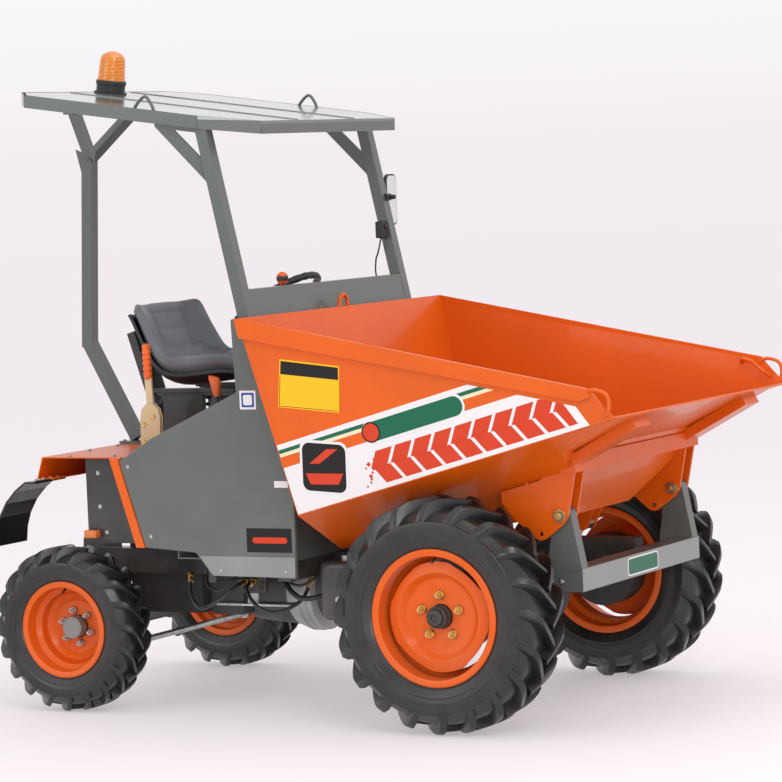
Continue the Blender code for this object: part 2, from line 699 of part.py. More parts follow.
def canopy_roof():
    """A flat tray: a deep frame all round and a thin skin, sloping down to the front."""
    half = ROOF_HALF_WIDTH
    front, rear = ROOF_FRONT_Y, ROOF_REAR_Y
    cx = half - ROOF_CHAMFER_X
    outline = [(-cx, front), (cx, front), (half, front + ROOF_CHAMFER_FRONT), (half, rear - ROOF_CHAMFER_REAR),
               (cx, rear), (-cx, rear), (-half, rear - ROOF_CHAMFER_REAR), (-half, front + ROOF_CHAMFER_FRONT)]
    middle = (front + rear) / 2
    shrink_x = (half - ROOF_RAIL) / half
    shrink_y = (rear - front - 2 * ROOF_RAIL) / (rear - front)
    hollow = [(x * shrink_x, middle + (y - middle) * shrink_y) for x, y in outline]
    tray = plate_z(outline, -ROOF_DEPTH, 0.0)
    cut(tray, plate_z(hollow, -ROOF_DEPTH - 0.01, -ROOF_SKIN))
    tray = settled(tray)
    slope = atan2(ROOF_REAR_TOP - ROOF_FRONT_TOP, rear - front)
    turn = Matrix.Rotation(slope, 4, "X")
    pivot = Matrix.Translation((0, front, ROOF_FRONT_TOP))
    tray.data.transform(pivot @ turn @ Matrix.Translation((0, -front, 0)))
    return node(tray, "canopy_roof", GREY, 0.3)


def roof_underside(y):
    slope = (ROOF_REAR_TOP - ROOF_FRONT_TOP) / (ROOF_REAR_Y - ROOF_FRONT_Y)
    return ROOF_FRONT_TOP + slope * (y - ROOF_FRONT_Y) - ROOF_DEPTH - 0.0008


def canopy_post_front(side, word):
    """A leaning square post with a haunch plate to the roof's side."""
    x = POST_OUTER_X - POST_SIZE / 2
    foot_z = FLOOR_Z + SHEET + GAP
    run = POST_SIZE * sqrt(1 + POST_LEAN ** 2)
    top_y = post_front_y(1.955)
    points = [(BULKHEAD_Y, foot_z), (BULKHEAD_Y, DASH_FOOT_Z), (top_y, roof_underside(top_y)),
              (top_y + run, roof_underside(top_y + run)), (BULKHEAD_Y + run, DASH_FOOT_Z), (BULKHEAD_Y + run, foot_z)]
    post = plate_x(points, side * (POST_OUTER_X - POST_SIZE), side * POST_OUTER_X)
    inside = post_front_y(HAUNCH_FOOT) + run * 0.5
    end_y = top_y + run + HAUNCH_REACH
    haunch = [(inside, HAUNCH_FOOT), (inside + 0.024, HAUNCH_FOOT), (end_y, roof_underside(end_y) - 0.012),
              (end_y, roof_underside(end_y)), (top_y + run * 0.5, roof_underside(top_y + run * 0.5) - 0.001)]
    plate = plate_x(haunch, side * (x - 0.004), side * (x + 0.004))
    corner_y = post_front_y(1.930) + run + 0.008
    window = [(corner_y - 0.014, HAUNCH_FOOT + 0.085), (end_y - 0.075, roof_underside(end_y - 0.075) - 0.016),
              (corner_y, roof_underside(corner_y) - 0.016)]
    cut(plate, plate_x(window, side * (x - 0.010), side * (x + 0.010)))
    join(post, settled(plate))
    return node(post, "canopy_post_front_" + word, GREY, 0.4)


def canopy_post_rear():
    """One middle post: a raked foot, an upright and two arms that spread under the roof's rear."""
    foot = Vector((0, 0.962, PLATFORM_TOP + GAP))
    bend = Vector((0, 1.160, 1.235))
    fork = Vector((0, 1.122, 1.900))
    size = REAR_POST_SIZE
    post = bar(foot + Vector((0, 0.010, 0.018)), bend, size, size)
    join(post, box((-0.050, foot.y - 0.045, foot.z), (0.050, foot.y + 0.060, foot.z + 0.010)))
    join(post, bar(bend - Vector((0, 0.001, 0.020)), fork, size, size))
    tip_y = 1.048
    for s in (1, -1):
        tip = Vector((s * 0.200, tip_y, roof_underside(tip_y) - 0.018))
        join(post, bar(fork - Vector((s * 0.014, 0, 0.024)), tip, size * 0.8, size * 0.8, up=(0, 1, 0)))
        join(post, box((s * 0.200 - 0.040, tip_y - 0.018, tip.z - 0.014),
                       (s * 0.200 + 0.040, tip_y + 0.018, roof_underside(tip_y - 0.018))))
    return node(post, "canopy_post_rear", GREY, 0.4)


def on_roof(x, y, height):
    """A point above the roof's skin, square to it."""
    slope = atan2(ROOF_REAR_TOP - ROOF_FRONT_TOP, ROOF_REAR_Y - ROOF_FRONT_Y)
    z = ROOF_FRONT_TOP + (y - ROOF_FRONT_Y) * (ROOF_REAR_TOP - ROOF_FRONT_TOP) / (ROOF_REAR_Y - ROOF_FRONT_Y)
    return Vector((x, y - height * sin(slope), z + height * cos(slope)))


def beacon():
    y = 1.022
    base = rod(on_roof(0, y, 0.0006), on_roof(0, y, 0.046), 0.050, 32)
    node(base, "beacon_base", BLACK, 0.5)
    profile = [(0.0463, 0.0), (0.0463, 0.048), (0.110, 0.046), (0.134, 0.040), (0.148, 0.026), (0.152, 0.0)]
    lens = turned(profile, 32, "Y")
    up = on_roof(0, y, 1.0) - on_roof(0, y, 0.0)
    turn = Vector((0, 1, 0)).rotation_difference(up).to_matrix().to_4x4()
    lens.data.transform(Matrix.Translation(on_roof(0, y, 0.0)) @ turn)
    node(lens, "beacon_lens", (1.0, 0.30, 0.0), 0.1)


def mirror():
    """A rear-view mirror on the left front post, on a short arm."""
    housing = box((0.585, 0.232, 1.600), (0.665, 0.249, 1.790))
    bevelled(housing, 0.007)
    arm = rod((POST_OUTER_X + GAP, 0.2405, 1.700), (0.600, 0.2405, 1.700), 0.007, 12)
    join(housing, arm)
    return node(housing, "mirror", LIGHT_GREY, 0.4)


def column_point(down):
    """A point on the steering column's line, below the steering wheel's centre."""
    return WHEEL_CENTRE + Vector((0, -sin(COLUMN_TILT), -cos(COLUMN_TILT))) * down


def steering():
    column = rod(column_point(0.0266), column_point(0.30), 0.022, 20)
    foot = column_point(0.30)
    bracket = box((foot.x - 0.03, post_front_y(foot.z + 0.02) + SHEET + 0.0014, foot.z - 0.045),
                  (foot.x + 0.03, foot.y + 0.015, foot.z + 0.02))
    join(column, bracket)
    node(column, "steering_column", BLACK, 0.5)
    ring = bpy.ops.mesh.primitive_torus_add
    ring(major_radius=WHEEL_RADIUS, minor_radius=0.012, major_segments=40, minor_segments=10)
    hoop = bpy.context.object
    for holder in list(hoop.users_collection):
        holder.objects.unlink(hoop)
    DUMPER.objects.link(hoop)
    join(hoop, rod((0, 0, -0.026), (0, 0, 0.014), 0.030, 24))
    for angle in (90, 210, 330):
        end = Vector((cos(radians(angle)), sin(radians(angle)), 0)) * WHEEL_RADIUS
        join(hoop, bar((0, 0, 0), end, 0.008, 0.026, up=(0, 0, 1)))
    hoop = settled(hoop)
    axis = axis_empty("steering_wheel_axis", WHEEL_CENTRE)
    hoop.data.transform(Matrix.Rotation(-COLUMN_TILT, 4, "X"))
    node(hoop, "steering_wheel", BLACK, 0.4)
    hoop.parent = axis


def levers():
    """The parking brake at the driver's right, the gear paddle and the tipping lever's ball knob."""
    brake = box((-0.325, 0.700, 0.873), (-0.300, 0.765, 1.045))
    join(brake, box((-0.321, 0.715, 1.040), (-0.304, 0.742, 1.135)))
    node(brake, "brake_lever", (0.62, 0.52, 0.36), 0.5)
    grip = rod((-0.3125, 0.7285, 1.1353), (-0.3125, 0.7285, 1.245), 0.017, 16)
    node(grip, "brake_grip", ORANGE, 0.4)
    paddle = bar((-0.265, 0.470, 1.010), (-0.265, 0.490, 1.125), 0.045, 0.018)
    join(paddle, rod((-0.265, 0.474, 0.8503), (-0.265, 0.474, 1.020), 0.009, 12))
    node(paddle, "gear_lever", ORANGE, 0.4)
    stem = rod((-0.150, 0.232, 1.200), (-0.150, 0.262, 1.440), 0.006, 12)
    bm = bmesh.new()
    bmesh.ops.create_uvsphere(bm, u_segments=20, v_segments=12, radius=0.021)
    bm.transform(Matrix.Translation((-0.150, 0.264, 1.450)))
    join(stem, from_bmesh(bm, smooth=True))
    join(stem, box((-0.180, post_front_y(1.215) + SHEET + 0.0014, 1.150), (-0.120, 0.250, 1.215)))
    node(stem, "tip_lever", ORANGE, 0.4)


front_bulkhead()
floor_plate()
side_panel(-1, right_outline(), "right")
side_panel(1, left_outline(), "left")
rear_body()
for side, word in ((-1, "right"), (1, "left")):
    rear_side_plate(side, word)
    marker_lamp(side, word)
    mudguard(side, word)
    canopy_post_front(side, word)
seat_base()
seat()
canopy_roof()
canopy_post_rear()
beacon()
mirror()
steering()
levers()


# ---------------------------------------------------------------- skip


def rim_z(y):
    """Height of the rim's top edge along the side."""
    share = (y - RIM_FRONT[0]) / (RIM_REAR[0] - RIM_FRONT[0])
    return RIM_FRONT[1] + (RIM_REAR[1] - RIM_FRONT[1]) * share


def bend_z(y):
    """Height of the side wall's lower bend."""
    return BEND_REAR[1] + BEND_RISE * (BEND_REAR[0] - y)


def wall_x(y, z):
    return SKIP_HALF_WIDTH - WALL_LEAN * (rim_z(y) - z)


def skip_sections():
    """Half sections from the rear wall to the lip: rim, side bend and floor edge, as (x, y, z)."""
    lip_y, lip_z = LIP
    stations = [
        ((SKIP_HALF_WIDTH, *RIM_REAR), (wall_x(*BEND_REAR), *BEND_REAR), (BELLY_HALF_REAR, *BELLY_REAR)),
    ]
    for (y, z), half in ((BELLY_FRONT, BELLY_HALF_FRONT), (RAMP_FOOT, RAMP_HALF)):
        stations.append(((SKIP_HALF_WIDTH, y, rim_z(y)), (wall_x(y, bend_z(y)), y, bend_z(y)), (half, y, z)))
    stations.append(((SKIP_HALF_WIDTH, *RIM_FRONT), (wall_x(RIM_FRONT[0], lip_z), lip_y, lip_z), (RAMP_HALF + 0.01, lip_y, lip_z)))
    return stations


def loft(stations, closed):
    """A tub through half sections, mirrored across X; closed also caps its top and its front."""
    bm = bmesh.new()
    rows = []
    for half in stations:
        full = [(-x, y, z) for x, y, z in half] + [(x, y, z) for x, y, z in reversed(half)]
        rows.append([bm.verts.new(place) for place in full])
    for near, far in zip(rows, rows[1:]):
        for i in range(5):
            bm.faces.new((near[i], near[i + 1], far[i + 1], far[i]))
        if closed:
            bm.faces.new((near[5], near[0], far[0], far[5]))
    for row in (rows[0], rows[-1]) if closed else rows[:1]:
        bm.faces.new((row[0], row[5], row[4], row[1]))
        bm.faces.new((row[1], row[4], row[3], row[2]))
    bmesh.ops.triangulate(bm, faces=bm.faces)
    return bm


def load_space():
    """The space inside the tub, a little smaller than its sheet, which clears what pokes through."""
    inset = []
    for index, (rim, bend, floor) in enumerate(skip_sections()):
        back = -SKIP_SHEET - 0.002 if index == 0 else 0.0
        inset.append((
            (rim[0] - SKIP_SHEET - 0.002, rim[1] + back, rim[2] + 0.02),
            (bend[0] - SKIP_SHEET - 0.003, bend[1] + back, bend[2] + 0.003),
            (floor[0] - 0.003, floor[1] + back, floor[2] + SKIP_SHEET + 0.003),
        ))
    return from_bmesh(loft(inset[:-1], True))


def skip_body():
    """The tub: a loft through the sections, open at the top, given its sheet by Solidify."""
    bm = loft(skip_sections(), False)
    bmesh.ops.recalc_face_normals(bm, faces=bm.faces)
    centre = Vector((0, -0.5, 1.0))
    if sum((face.calc_center_median() - centre).dot(face.normal) for face in bm.faces) < 0:
        bmesh.ops.reverse_faces(bm, faces=bm.faces)
    mesh = bpy.data.meshes.new("tub")
    bm.to_mesh(mesh)
    bm.free()
    tub = bpy.data.objects.new("tub", mesh)
    DUMPER.objects.link(tub)
    sheet = tub.modifiers.new("sheet", "SOLIDIFY")
    sheet.thickness = SKIP_SHEET
    sheet.offset = -1
    sheet.use_even_offset = True
    tub = settled(tub)
    for s in (1, -1):
        join(tub, side_band(s))
    join(tub, rear_band())
    return tub


def side_band(side):
    """The rim's stiffened side band, standing proud of the wall."""
    drop = RIM_BAND_HEIGHT
    outline = [(RIM_REAR[0] - 0.002, RIM_REAR[1] + 0.001), (RIM_FRONT[0], RIM_FRONT[1] + 0.001),
               (RIM_FRONT[0] - 0.020, RIM_FRONT[1] - 0.026), (RIM_FRONT[0] + 0.02, RIM_FRONT[1] - drop * 0.62),
               (RIM_REAR[0] - 0.016, RIM_REAR[1] - drop)]
    return plate_x(outline, side * (SKIP_HALF_WIDTH - SKIP_SHEET - 0.001), side * (SKIP_HALF_WIDTH + RIM_BAND_PROUD))


def rear_band():
    drop = RIM_BAND_HEIGHT
    back = (RIM_REAR[0] - BEND_REAR[0]) / (RIM_REAR[1] - BEND_REAR[1]) * drop
    outline = [(RIM_REAR[0] - 0.004, RIM_REAR[1] + 0.001), (RIM_REAR[0] + RIM_BAND_PROUD, RIM_REAR[1] + 0.001),
               (RIM_REAR[0] + RIM_BAND_PROUD - back, RIM_REAR[1] - drop), (RIM_REAR[0] - 0.004 - back, RIM_REAR[1] - drop)]
    return plate_x(outline, -SKIP_HALF_WIDTH - RIM_BAND_PROUD, SKIP_HALF_WIDTH + RIM_BAND_PROUD)


def skip_mounts(tub):
    """The cross tube under the lip, its braces and the two forked brackets on the pins."""
    tube_y, tube_z = -0.950, 0.848
    join(tub, box((-0.490, tube_y - 0.026, tube_z - 0.026), (0.490, tube_y + 0.026, tube_z + 0.026)))
    fork = ARM_WIDTH / 2 + 0.006
    outline = [(-0.974, 0.850), (-0.938, PIN_Z - 0.006), (-0.922, 0.655), (-0.858, 0.607), (-0.842, 0.603), (-0.826, 0.607),
               (-0.746, 0.672), (-0.706, 0.722), (-0.705, 0.757), (-0.842, 0.795), (-0.930, 0.862)]
    for s in (1, -1):
        for offset in (-fork - 0.010, fork):
            near = s * (PIN_X + offset)
            join(tub, plate_x(outline, near, near + s * 0.010))
        join(tub, side_box(s, (PIN_X - 0.036, -0.800, 0.742), (PIN_X + 0.036, -0.790, 0.790)))
        start = Vector((s * 0.445, -0.968, 0.862))
        end = Vector((s * 0.445, -1.192, 0.982))
        join(tub, bar(start, end, 0.116, 0.034))
    lug_y, lug_z = ROD_PIN.y, ROD_PIN.z
    for s in (1, -1):
        lug = [*arc((lug_y, lug_z), 0.022, 200, 340, 6), (lug_y + 0.050, 0.643), (lug_y - 0.050, 0.656)]
        join(tub, plate_x(lug, ROD_PIN.x + s * 0.027, ROD_PIN.x + s * 0.035))
    for s in (1, -1):
        near, far = s * (PIN_X - 0.05), s * (PIN_X + 0.05)
        cut(tub, rod((near, PIN_Y, PIN_Z), (far, PIN_Y, PIN_Z), PIN_RADIUS + 0.001, 20))
        cut(tub, rod((near, -0.842, 0.624), (far, -0.842, 0.624), 0.008, 16))
    return tub


def lifting_eyes(tub):
    """Bent-rod eyes: two in the front corners and one on the rear rim."""
    for s in (1, -1):
        x = s * (SKIP_HALF_WIDTH - 0.014)
        points = [(x, -1.060, 1.090), (x - s * 0.030, -1.075, 1.105), (x - s * 0.040, -1.115, 1.095),
                  (x - s * 0.030, -1.150, 1.060), (x, -1.165, 1.040)]
        join(tub, bent_tube(points, 0.007))
    rear_y = RIM_REAR[0] - 0.002
    points = [(-0.030, rear_y, 1.334), (-0.026, rear_y, 1.372), (0.0, rear_y, 1.386), (0.026, rear_y, 1.372), (0.030, rear_y, 1.334)]
    join(tub, bent_tube(points, 0.007))
    return tub


skip_axis = axis_empty("skip_axis", (0, PIN_Y, PIN_Z))
skip = skip_mounts(skip_body())
cut(skip, load_space())
lifting_eyes(skip)
hang_on(node(skip, "skip", ORANGE, 0.35), skip_axis)


# ---------------------------------------------------------------- tipping cylinder


def tipping_cylinder():
    along = (ROD_PIN - BARREL_PIN).normalized()
    barrel = rod(BARREL_PIN + along * 0.020, BARREL_PIN + along * BARREL_LENGTH, BARREL_RADIUS, 24)
    join(barrel, rod(BARREL_PIN - Vector((0.026, 0, 0)), BARREL_PIN + Vector((0.026, 0, 0)), 0.028, 20))
    cut(barrel, rod(BARREL_PIN + along * 0.045, BARREL_PIN + along * (BARREL_LENGTH + 0.02), BARREL_BORE, 20))
    cut(barrel, rod(BARREL_PIN - Vector((0.05, 0, 0)), BARREL_PIN + Vector((0.05, 0, 0)), CYLINDER_PIN + 0.001, 16))
    node(barrel, "tip_cylinder_barrel", BLACK, 0.4)
    hang_on(barrel, axis_empty("barrel_axis", BARREL_PIN))
    piston = rod(ROD_PIN - along * ROD_REACH, ROD_PIN - along * 0.018, ROD_RADIUS, 20)
    join(piston, rod(ROD_PIN - Vector((0.020, 0, 0)), ROD_PIN + Vector((0.020, 0, 0)), 0.020, 20))
    node(piston, "tip_cylinder_rod", (0.7, 0.7, 0.7), 0.15, 1.0)
    hang_on(piston, axis_empty("rod_axis", ROD_PIN))


tipping_cylinder()
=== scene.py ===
"""Looks of the site dumper: paint, lugged tyres, wheel bolts, blank plates and stripes, seat, hoses,
roof fittings, studio floor, lights and camera."""

from math import atan2, cos, pi, radians, sin, sqrt, tau
from random import Random

import bmesh
import bpy
from mathutils import Matrix, Vector


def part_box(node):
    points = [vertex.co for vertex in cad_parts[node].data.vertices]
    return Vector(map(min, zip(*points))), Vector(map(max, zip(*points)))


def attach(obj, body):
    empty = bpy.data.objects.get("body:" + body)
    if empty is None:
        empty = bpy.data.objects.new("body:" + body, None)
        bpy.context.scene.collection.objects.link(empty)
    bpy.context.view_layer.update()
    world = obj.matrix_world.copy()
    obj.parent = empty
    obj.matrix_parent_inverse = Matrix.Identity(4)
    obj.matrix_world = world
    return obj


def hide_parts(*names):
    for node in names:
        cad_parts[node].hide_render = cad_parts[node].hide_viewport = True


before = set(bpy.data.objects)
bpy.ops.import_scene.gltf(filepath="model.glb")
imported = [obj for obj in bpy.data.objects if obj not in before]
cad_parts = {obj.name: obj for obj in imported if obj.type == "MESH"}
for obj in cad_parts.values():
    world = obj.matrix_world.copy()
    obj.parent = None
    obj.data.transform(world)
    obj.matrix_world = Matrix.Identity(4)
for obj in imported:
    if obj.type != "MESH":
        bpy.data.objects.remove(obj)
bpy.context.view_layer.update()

SIDES = ((-1, "right"), (1, "left"))
FILM_THICKNESS = 0.0003
SHARP_ANGLE = 35

# ---------------------------------------------------------------- camera

CAMERA_PLACE = Vector((-10.548, -5.797, 1.837))
YAW, PITCH, ROLL = 1.07248, 0.06542, -0.04266
ahead = Vector((sin(YAW) * cos(PITCH), cos(YAW) * cos(PITCH), -sin(PITCH)))
flat_right = Vector((cos(YAW), -sin(YAW), 0))
flat_up = flat_right.cross(ahead)
lens_right = flat_right * cos(ROLL) + flat_up * sin(ROLL)
lens_up = flat_up * cos(ROLL) - flat_right * sin(ROLL)

camera_data = bpy.data.cameras.new("studio_camera")
camera_data.sensor_width = 36
camera_data.lens = 162.2
camera = bpy.data.objects.new("studio_camera", camera_data)
bpy.context.scene.collection.objects.link(camera)
facing = Matrix((lens_right, lens_up, -ahead)).transposed().to_4x4()
camera.matrix_world = Matrix.Translation(CAMERA_PLACE) @ facing
bpy.context.scene.camera = camera

# ---------------------------------------------------------------- shader maths


class Value:
    """A socket that takes part in Python arithmetic; each operation adds its node."""

    def __init__(self, nodes, socket):
        self.nodes, self.socket = nodes, socket

    def math(self, operation, *others, clamp=False):
        settings = {"operation": operation, "use_clamp": clamp}
        return self.nodes.node("ShaderNodeMath", settings, dict(enumerate((self, *others))))[0]

    def __add__(self, other):
        return self.math("ADD", other)

    def __rsub__(self, other):
        return self.math("MULTIPLY_ADD", -1.0, other)

    def __mul__(self, other):
        return self.math("MULTIPLY", other)

    __radd__, __rmul__ = __add__, __mul__

    def clamped(self):
        return self.math("ADD", 0.0, clamp=True)

    def ramp(self, low, high):
        """0 below low, 1 above high, straight between them."""
        return self.nodes.node("ShaderNodeMapRange", {"clamp": True}, {0: self, 1: low, 2: high})[0]


class Nodes:
    """The nodes of one material or of the world."""

    def __init__(self, owner):
        owner.use_nodes = True
        self.tree = owner.node_tree

    def node(self, kind, settings=None, inputs=None):
        made = self.tree.nodes.new(kind)
        for key, setting in (settings or {}).items():
            if key == "stops":
                for element, (place, colour) in zip(made.color_ramp.elements, setting):
                    element.position, element.color = place, (*colour, 1)
            else:
                setattr(made, key, setting)
        for key, given in (inputs or {}).items():
            self.feed(made.inputs[key], given)
        return [Value(self, socket) for socket in made.outputs]

    def feed(self, socket, given):
        if isinstance(given, Value):
            self.tree.links.new(given.socket, socket)
        else:
            socket.default_value = given


class Finish(Nodes):
    """One material under construction."""

    def __init__(self, name, colour, roughness, metallic=0.0, **uniform):
        self.material = bpy.data.materials.new(name)
        super().__init__(self.material)
        self.shader = self.tree.nodes["Principled BSDF"]
        self.colour = colour
        uniform.update(base_color=(*colour, 1), roughness=roughness, metallic=metallic)
        for words, amount in uniform.items():
            self.to(words.replace("_", " ").title().replace("Ior", "IOR"), amount)

    def to(self, socket, given):
        self.feed(self.shader.inputs[socket], given)

    def place(self):
        return self.node("ShaderNodeTexCoord")[3]

    def height(self):
        return self.node("ShaderNodeSeparateXYZ", None, {0: self.place()})[2]

    def noise(self, scale, detail=3.0, roughness=0.55, stretch=None):
        at = self.place()
        if stretch:
            at = self.node("ShaderNodeMapping", None, {"Vector": at, "Scale": stretch})[0]
        inputs = {"Vector": at, "Scale": scale, "Detail": detail, "Roughness": roughness}
        return self.node("ShaderNodeTexNoise", None, inputs)[0]

    def mix(self, factor, first, second):
        return self.node("ShaderNodeMix", {"data_type": "RGBA"}, {0: factor, 6: first, 7: second})[2]

    def shades(self, factor, first, second):
        """Goes from one strength of the finish's colour to another."""
        ends = [(*(min(1.0, c * strength) for c in self.colour), 1) for strength in (first, second)]
        return self.mix(factor, *ends)

    def bump(self, height, strength, distance):
        inputs = {"Height": height, "Strength": strength, "Distance": distance}
        self.to("Normal", self.node("ShaderNodeBump", None, inputs)[0])

    def edges(self, radius=0.004):
        """1 on worn outer edges, 0 on flat faces."""
        bevelled = self.node("ShaderNodeBevel", {"samples": 4}, {"Radius": radius})[0]
        normal = self.node("ShaderNodeNewGeometry")[1]
        dot = self.node("ShaderNodeVectorMath", {"operation": "DOT_PRODUCT"}, {0: bevelled, 1: normal})[1]
        return (1 - dot).ramp(0.02, 0.25)


def paint(name, colour, roughness, coat=0.4, dust=0.25, wear=0.5, shine=0.5):
    """Sprayed paint: faint orange peel, uneven gloss, dust low down and darker rubbed edges."""
    finish = Finish(name, colour, roughness, coat_weight=coat, coat_roughness=0.08, specular_ior_level=shine)
    cloudy = finish.noise(3.5, 4.0)
    near_ground = 1 - finish.height().ramp(0.15, 0.9)
    dusty = (near_ground * finish.noise(7.0, 5.0).ramp(0.35, 0.75)).clamped() * dust
    rubbed = finish.edges() * finish.noise(38.0, 5.0).ramp(0.48, 0.62) * wear
    tint = finish.mix(dusty, finish.shades(cloudy.ramp(0.3, 0.7), 0.9, 1), (0.34, 0.3, 0.25, 1))
    finish.to("Base Color", finish.mix(rubbed.clamped(), tint, (0.1, 0.09, 0.085, 1)))
    finish.to("Roughness", (roughness + cloudy * 0.1 + dusty * 0.5 + rubbed * 0.3).clamped())
    finish.bump(finish.noise(160.0, 2.0) + finish.noise(24.0, 2.0) * 3, 0.05, 0.0006)
    return finish.material


def scuffed_paint(name, colour, roughness):
    """Skip paint: as paint, with faint drag marks from loads."""
    finish = Finish(name, colour, roughness, coat_weight=0.22, coat_roughness=0.06, specular_ior_level=0.25)
    cloudy = finish.noise(2.6, 4.0)
    streaks = finish.noise(9.0, 6.0, 0.7, stretch=(1.0, 0.15, 1.6)).ramp(0.52, 0.7)
    rubbed = finish.edges(0.003) * finish.noise(45.0, 5.0).ramp(0.5, 0.62) * 0.45
    tint = finish.shades(cloudy.ramp(0.3, 0.7), 0.86, 1)
    finish.to("Base Color", finish.mix(rubbed.clamped(), tint, (0.16, 0.1, 0.07, 1)))
    finish.to("Roughness", (roughness + streaks * 0.12 + cloudy * 0.06).clamped())
    finish.bump(finish.noise(2.2, 1.0) * 6 + finish.noise(150.0, 2.0), 0.06, 0.0008)
    return finish.material


def rubber(name, shade, dust, roughness):
    finish = Finish(name, (shade, shade, shade * 1.03), roughness, coat_weight=0.22, coat_roughness=0.18)
    patchy = finish.noise(11.0, 6.0, 0.65).ramp(0.4, 0.75)
    clean = (shade, shade, shade * 1.03, 1)
    finish.to("Base Color", finish.mix((patchy * dust).clamped(), clean, (0.16, 0.15, 0.135, 1)))
    finish.to("Roughness", (roughness - 0.1 + patchy * 0.22).clamped())
    finish.bump(finish.noise(220.0, 3.0) + finish.noise(30.0, 3.0) * 2, 0.18, 0.0007)
    return finish.material


def casting(name, colour, roughness, metallic=0.0):
    """Rough sand-cast or forged metal."""
    finish = Finish(name, colour, roughness, metallic)
    stain = finish.noise(9.0, 5.0).ramp(0.42, 0.72)
    finish.to("Base Color", finish.shades(stain * 0.7, 1, 0.55))
    finish.to("Roughness", (roughness + stain * 0.15).clamped())
    finish.bump(finish.noise(120.0, 5.0, 0.7), 0.35, 0.0009)
    return finish.material


def plated(name, colour, roughness):
    finish = Finish(name, colour, roughness, 1.0)
    marks = finish.noise(60.0, 4.0)
    finish.to("Base Color", finish.shades(marks.ramp(0.4, 0.7), 1, 0.7))
    finish.to("Roughness", (roughness + marks * 0.15).clamped())
    return finish.material


def vinyl(name, colour):
    """Grained seat vinyl: pebbled bump from small cells, with a soft sheen."""
    finish = Finish(name, colour, 0.36, sheen_weight=0.1)
    cells = finish.node("ShaderNodeTexVoronoi", {"feature": "DISTANCE_TO_EDGE"},
                        {"Vector": finish.place(), "Scale": 420.0})[0]
    cloud = finish.noise(6.0, 4.0)
    finish.to("Base Color", finish.shades(cloud.ramp(0.35, 0.75), 1, 1.5))
    finish.to("Roughness", (0.28 + cloud * 0.16).clamped())
    finish.bump(cells.ramp(0.0, 0.25), 0.25, 0.0005)
    return finish.material


def moulded(name, colour, roughness):
    finish = Finish(name, colour, roughness)
    cloud = finish.noise(8.0, 4.0)
    finish.to("Base Color", finish.shades(cloud.ramp(0.4, 0.7), 1, 0.8))
    finish.to("Roughness", (roughness + cloud * 0.1).clamped())
    finish.bump(finish.noise(300.0, 2.0), 0.12, 0.0004)
    return finish.material


def film(name, colour, roughness=0.28):
    """Printed vinyl film on the paint, lightly scuffed."""
    finish = Finish(name, colour, roughness, coat_weight=0.08, coat_roughness=0.1, specular_ior_level=0.25)
    rub = finish.noise(40.0, 6.0, 0.7).ramp(0.6, 0.78)
    finish.to("Base Color", finish.shades(rub, 1, 0.88))
    finish.to("Roughness", (roughness + rub * 0.2).clamped())
    return finish.material


def lens(name, colour, alpha):
    """Clear coloured plastic with fine moulded rings."""
    finish = Finish(name, colour, 0.06, coat_weight=0.6, coat_roughness=0.03, transmission_weight=0.35,
                    alpha=alpha)
    finish.bump((finish.height() * 520.0).math("SINE"), 0.5, 0.0008)
    finish.to("Base Color", finish.shades(finish.noise(20.0, 3.0).ramp(0.3, 0.8), 1, 1.3))
    return finish.material


ORANGE = paint("orange_paint", (0.7, 0.105, 0.002), 0.32, coat=0.12, dust=0.1, shine=0.25)
SKIP_ORANGE = scuffed_paint("skip_orange_paint", (0.7, 0.105, 0.002), 0.33)
RIM_ORANGE = paint("rim_orange_paint", (0.72, 0.105, 0.002), 0.3, coat=0.12, dust=0.12, wear=0.3, shine=0.25)
GREY = paint("grey_green_paint", (0.09, 0.104, 0.096), 0.36, dust=0.2)
POST_GREY = paint("post_grey_paint", (0.088, 0.104, 0.094), 0.34, dust=0.0)
# The roof has the same grey-green paint as the posts; this lighter grey is that paint plus a painted reflection of
# the pale studio, on top of the gloss. The roof's edge strip keeps the plain post grey.
ROOF_GREY_PAINTED_REFLECTION = paint("roof_grey_painted_reflection", (0.17, 0.19, 0.18), 0.1, dust=0.0, wear=0.3)
LIGHT_GREY = paint("light_grey_paint", (0.22, 0.24, 0.235), 0.36, dust=0.25)
BLACK = paint("black_chassis_paint", (0.016, 0.016, 0.016), 0.42, dust=0.35, wear=0.2)
TREAD = rubber("tread_rubber", 0.007, 0.1, 0.4)
SHEET_RUBBER = rubber("sheet_rubber", 0.005, 0.03, 0.42)
HOSE = rubber("hose_rubber", 0.012, 0.2, 0.5)
CAST_GREY = casting("cast_alloy", (0.48, 0.49, 0.47), 0.44, 0.3)
CASE_GREY = casting("gear_case_alloy", (0.085, 0.088, 0.085), 0.5, 0.3)
CAP_GREY = casting("cap_grey", (0.22, 0.22, 0.21), 0.45, 0.2)
CAST_DARK = casting("cast_iron", (0.045, 0.043, 0.04), 0.6, 0.2)
HUB_DARK = casting("hub_casting", (0.06, 0.058, 0.055), 0.45, 0.5)
YELLOW_ZINC = plated("yellow_zinc", (0.72, 0.48, 0.17), 0.3)
ZINC = plated("zinc", (0.55, 0.55, 0.53), 0.32)
CHROME = plated("chrome_rod", (0.8, 0.8, 0.8), 0.08)
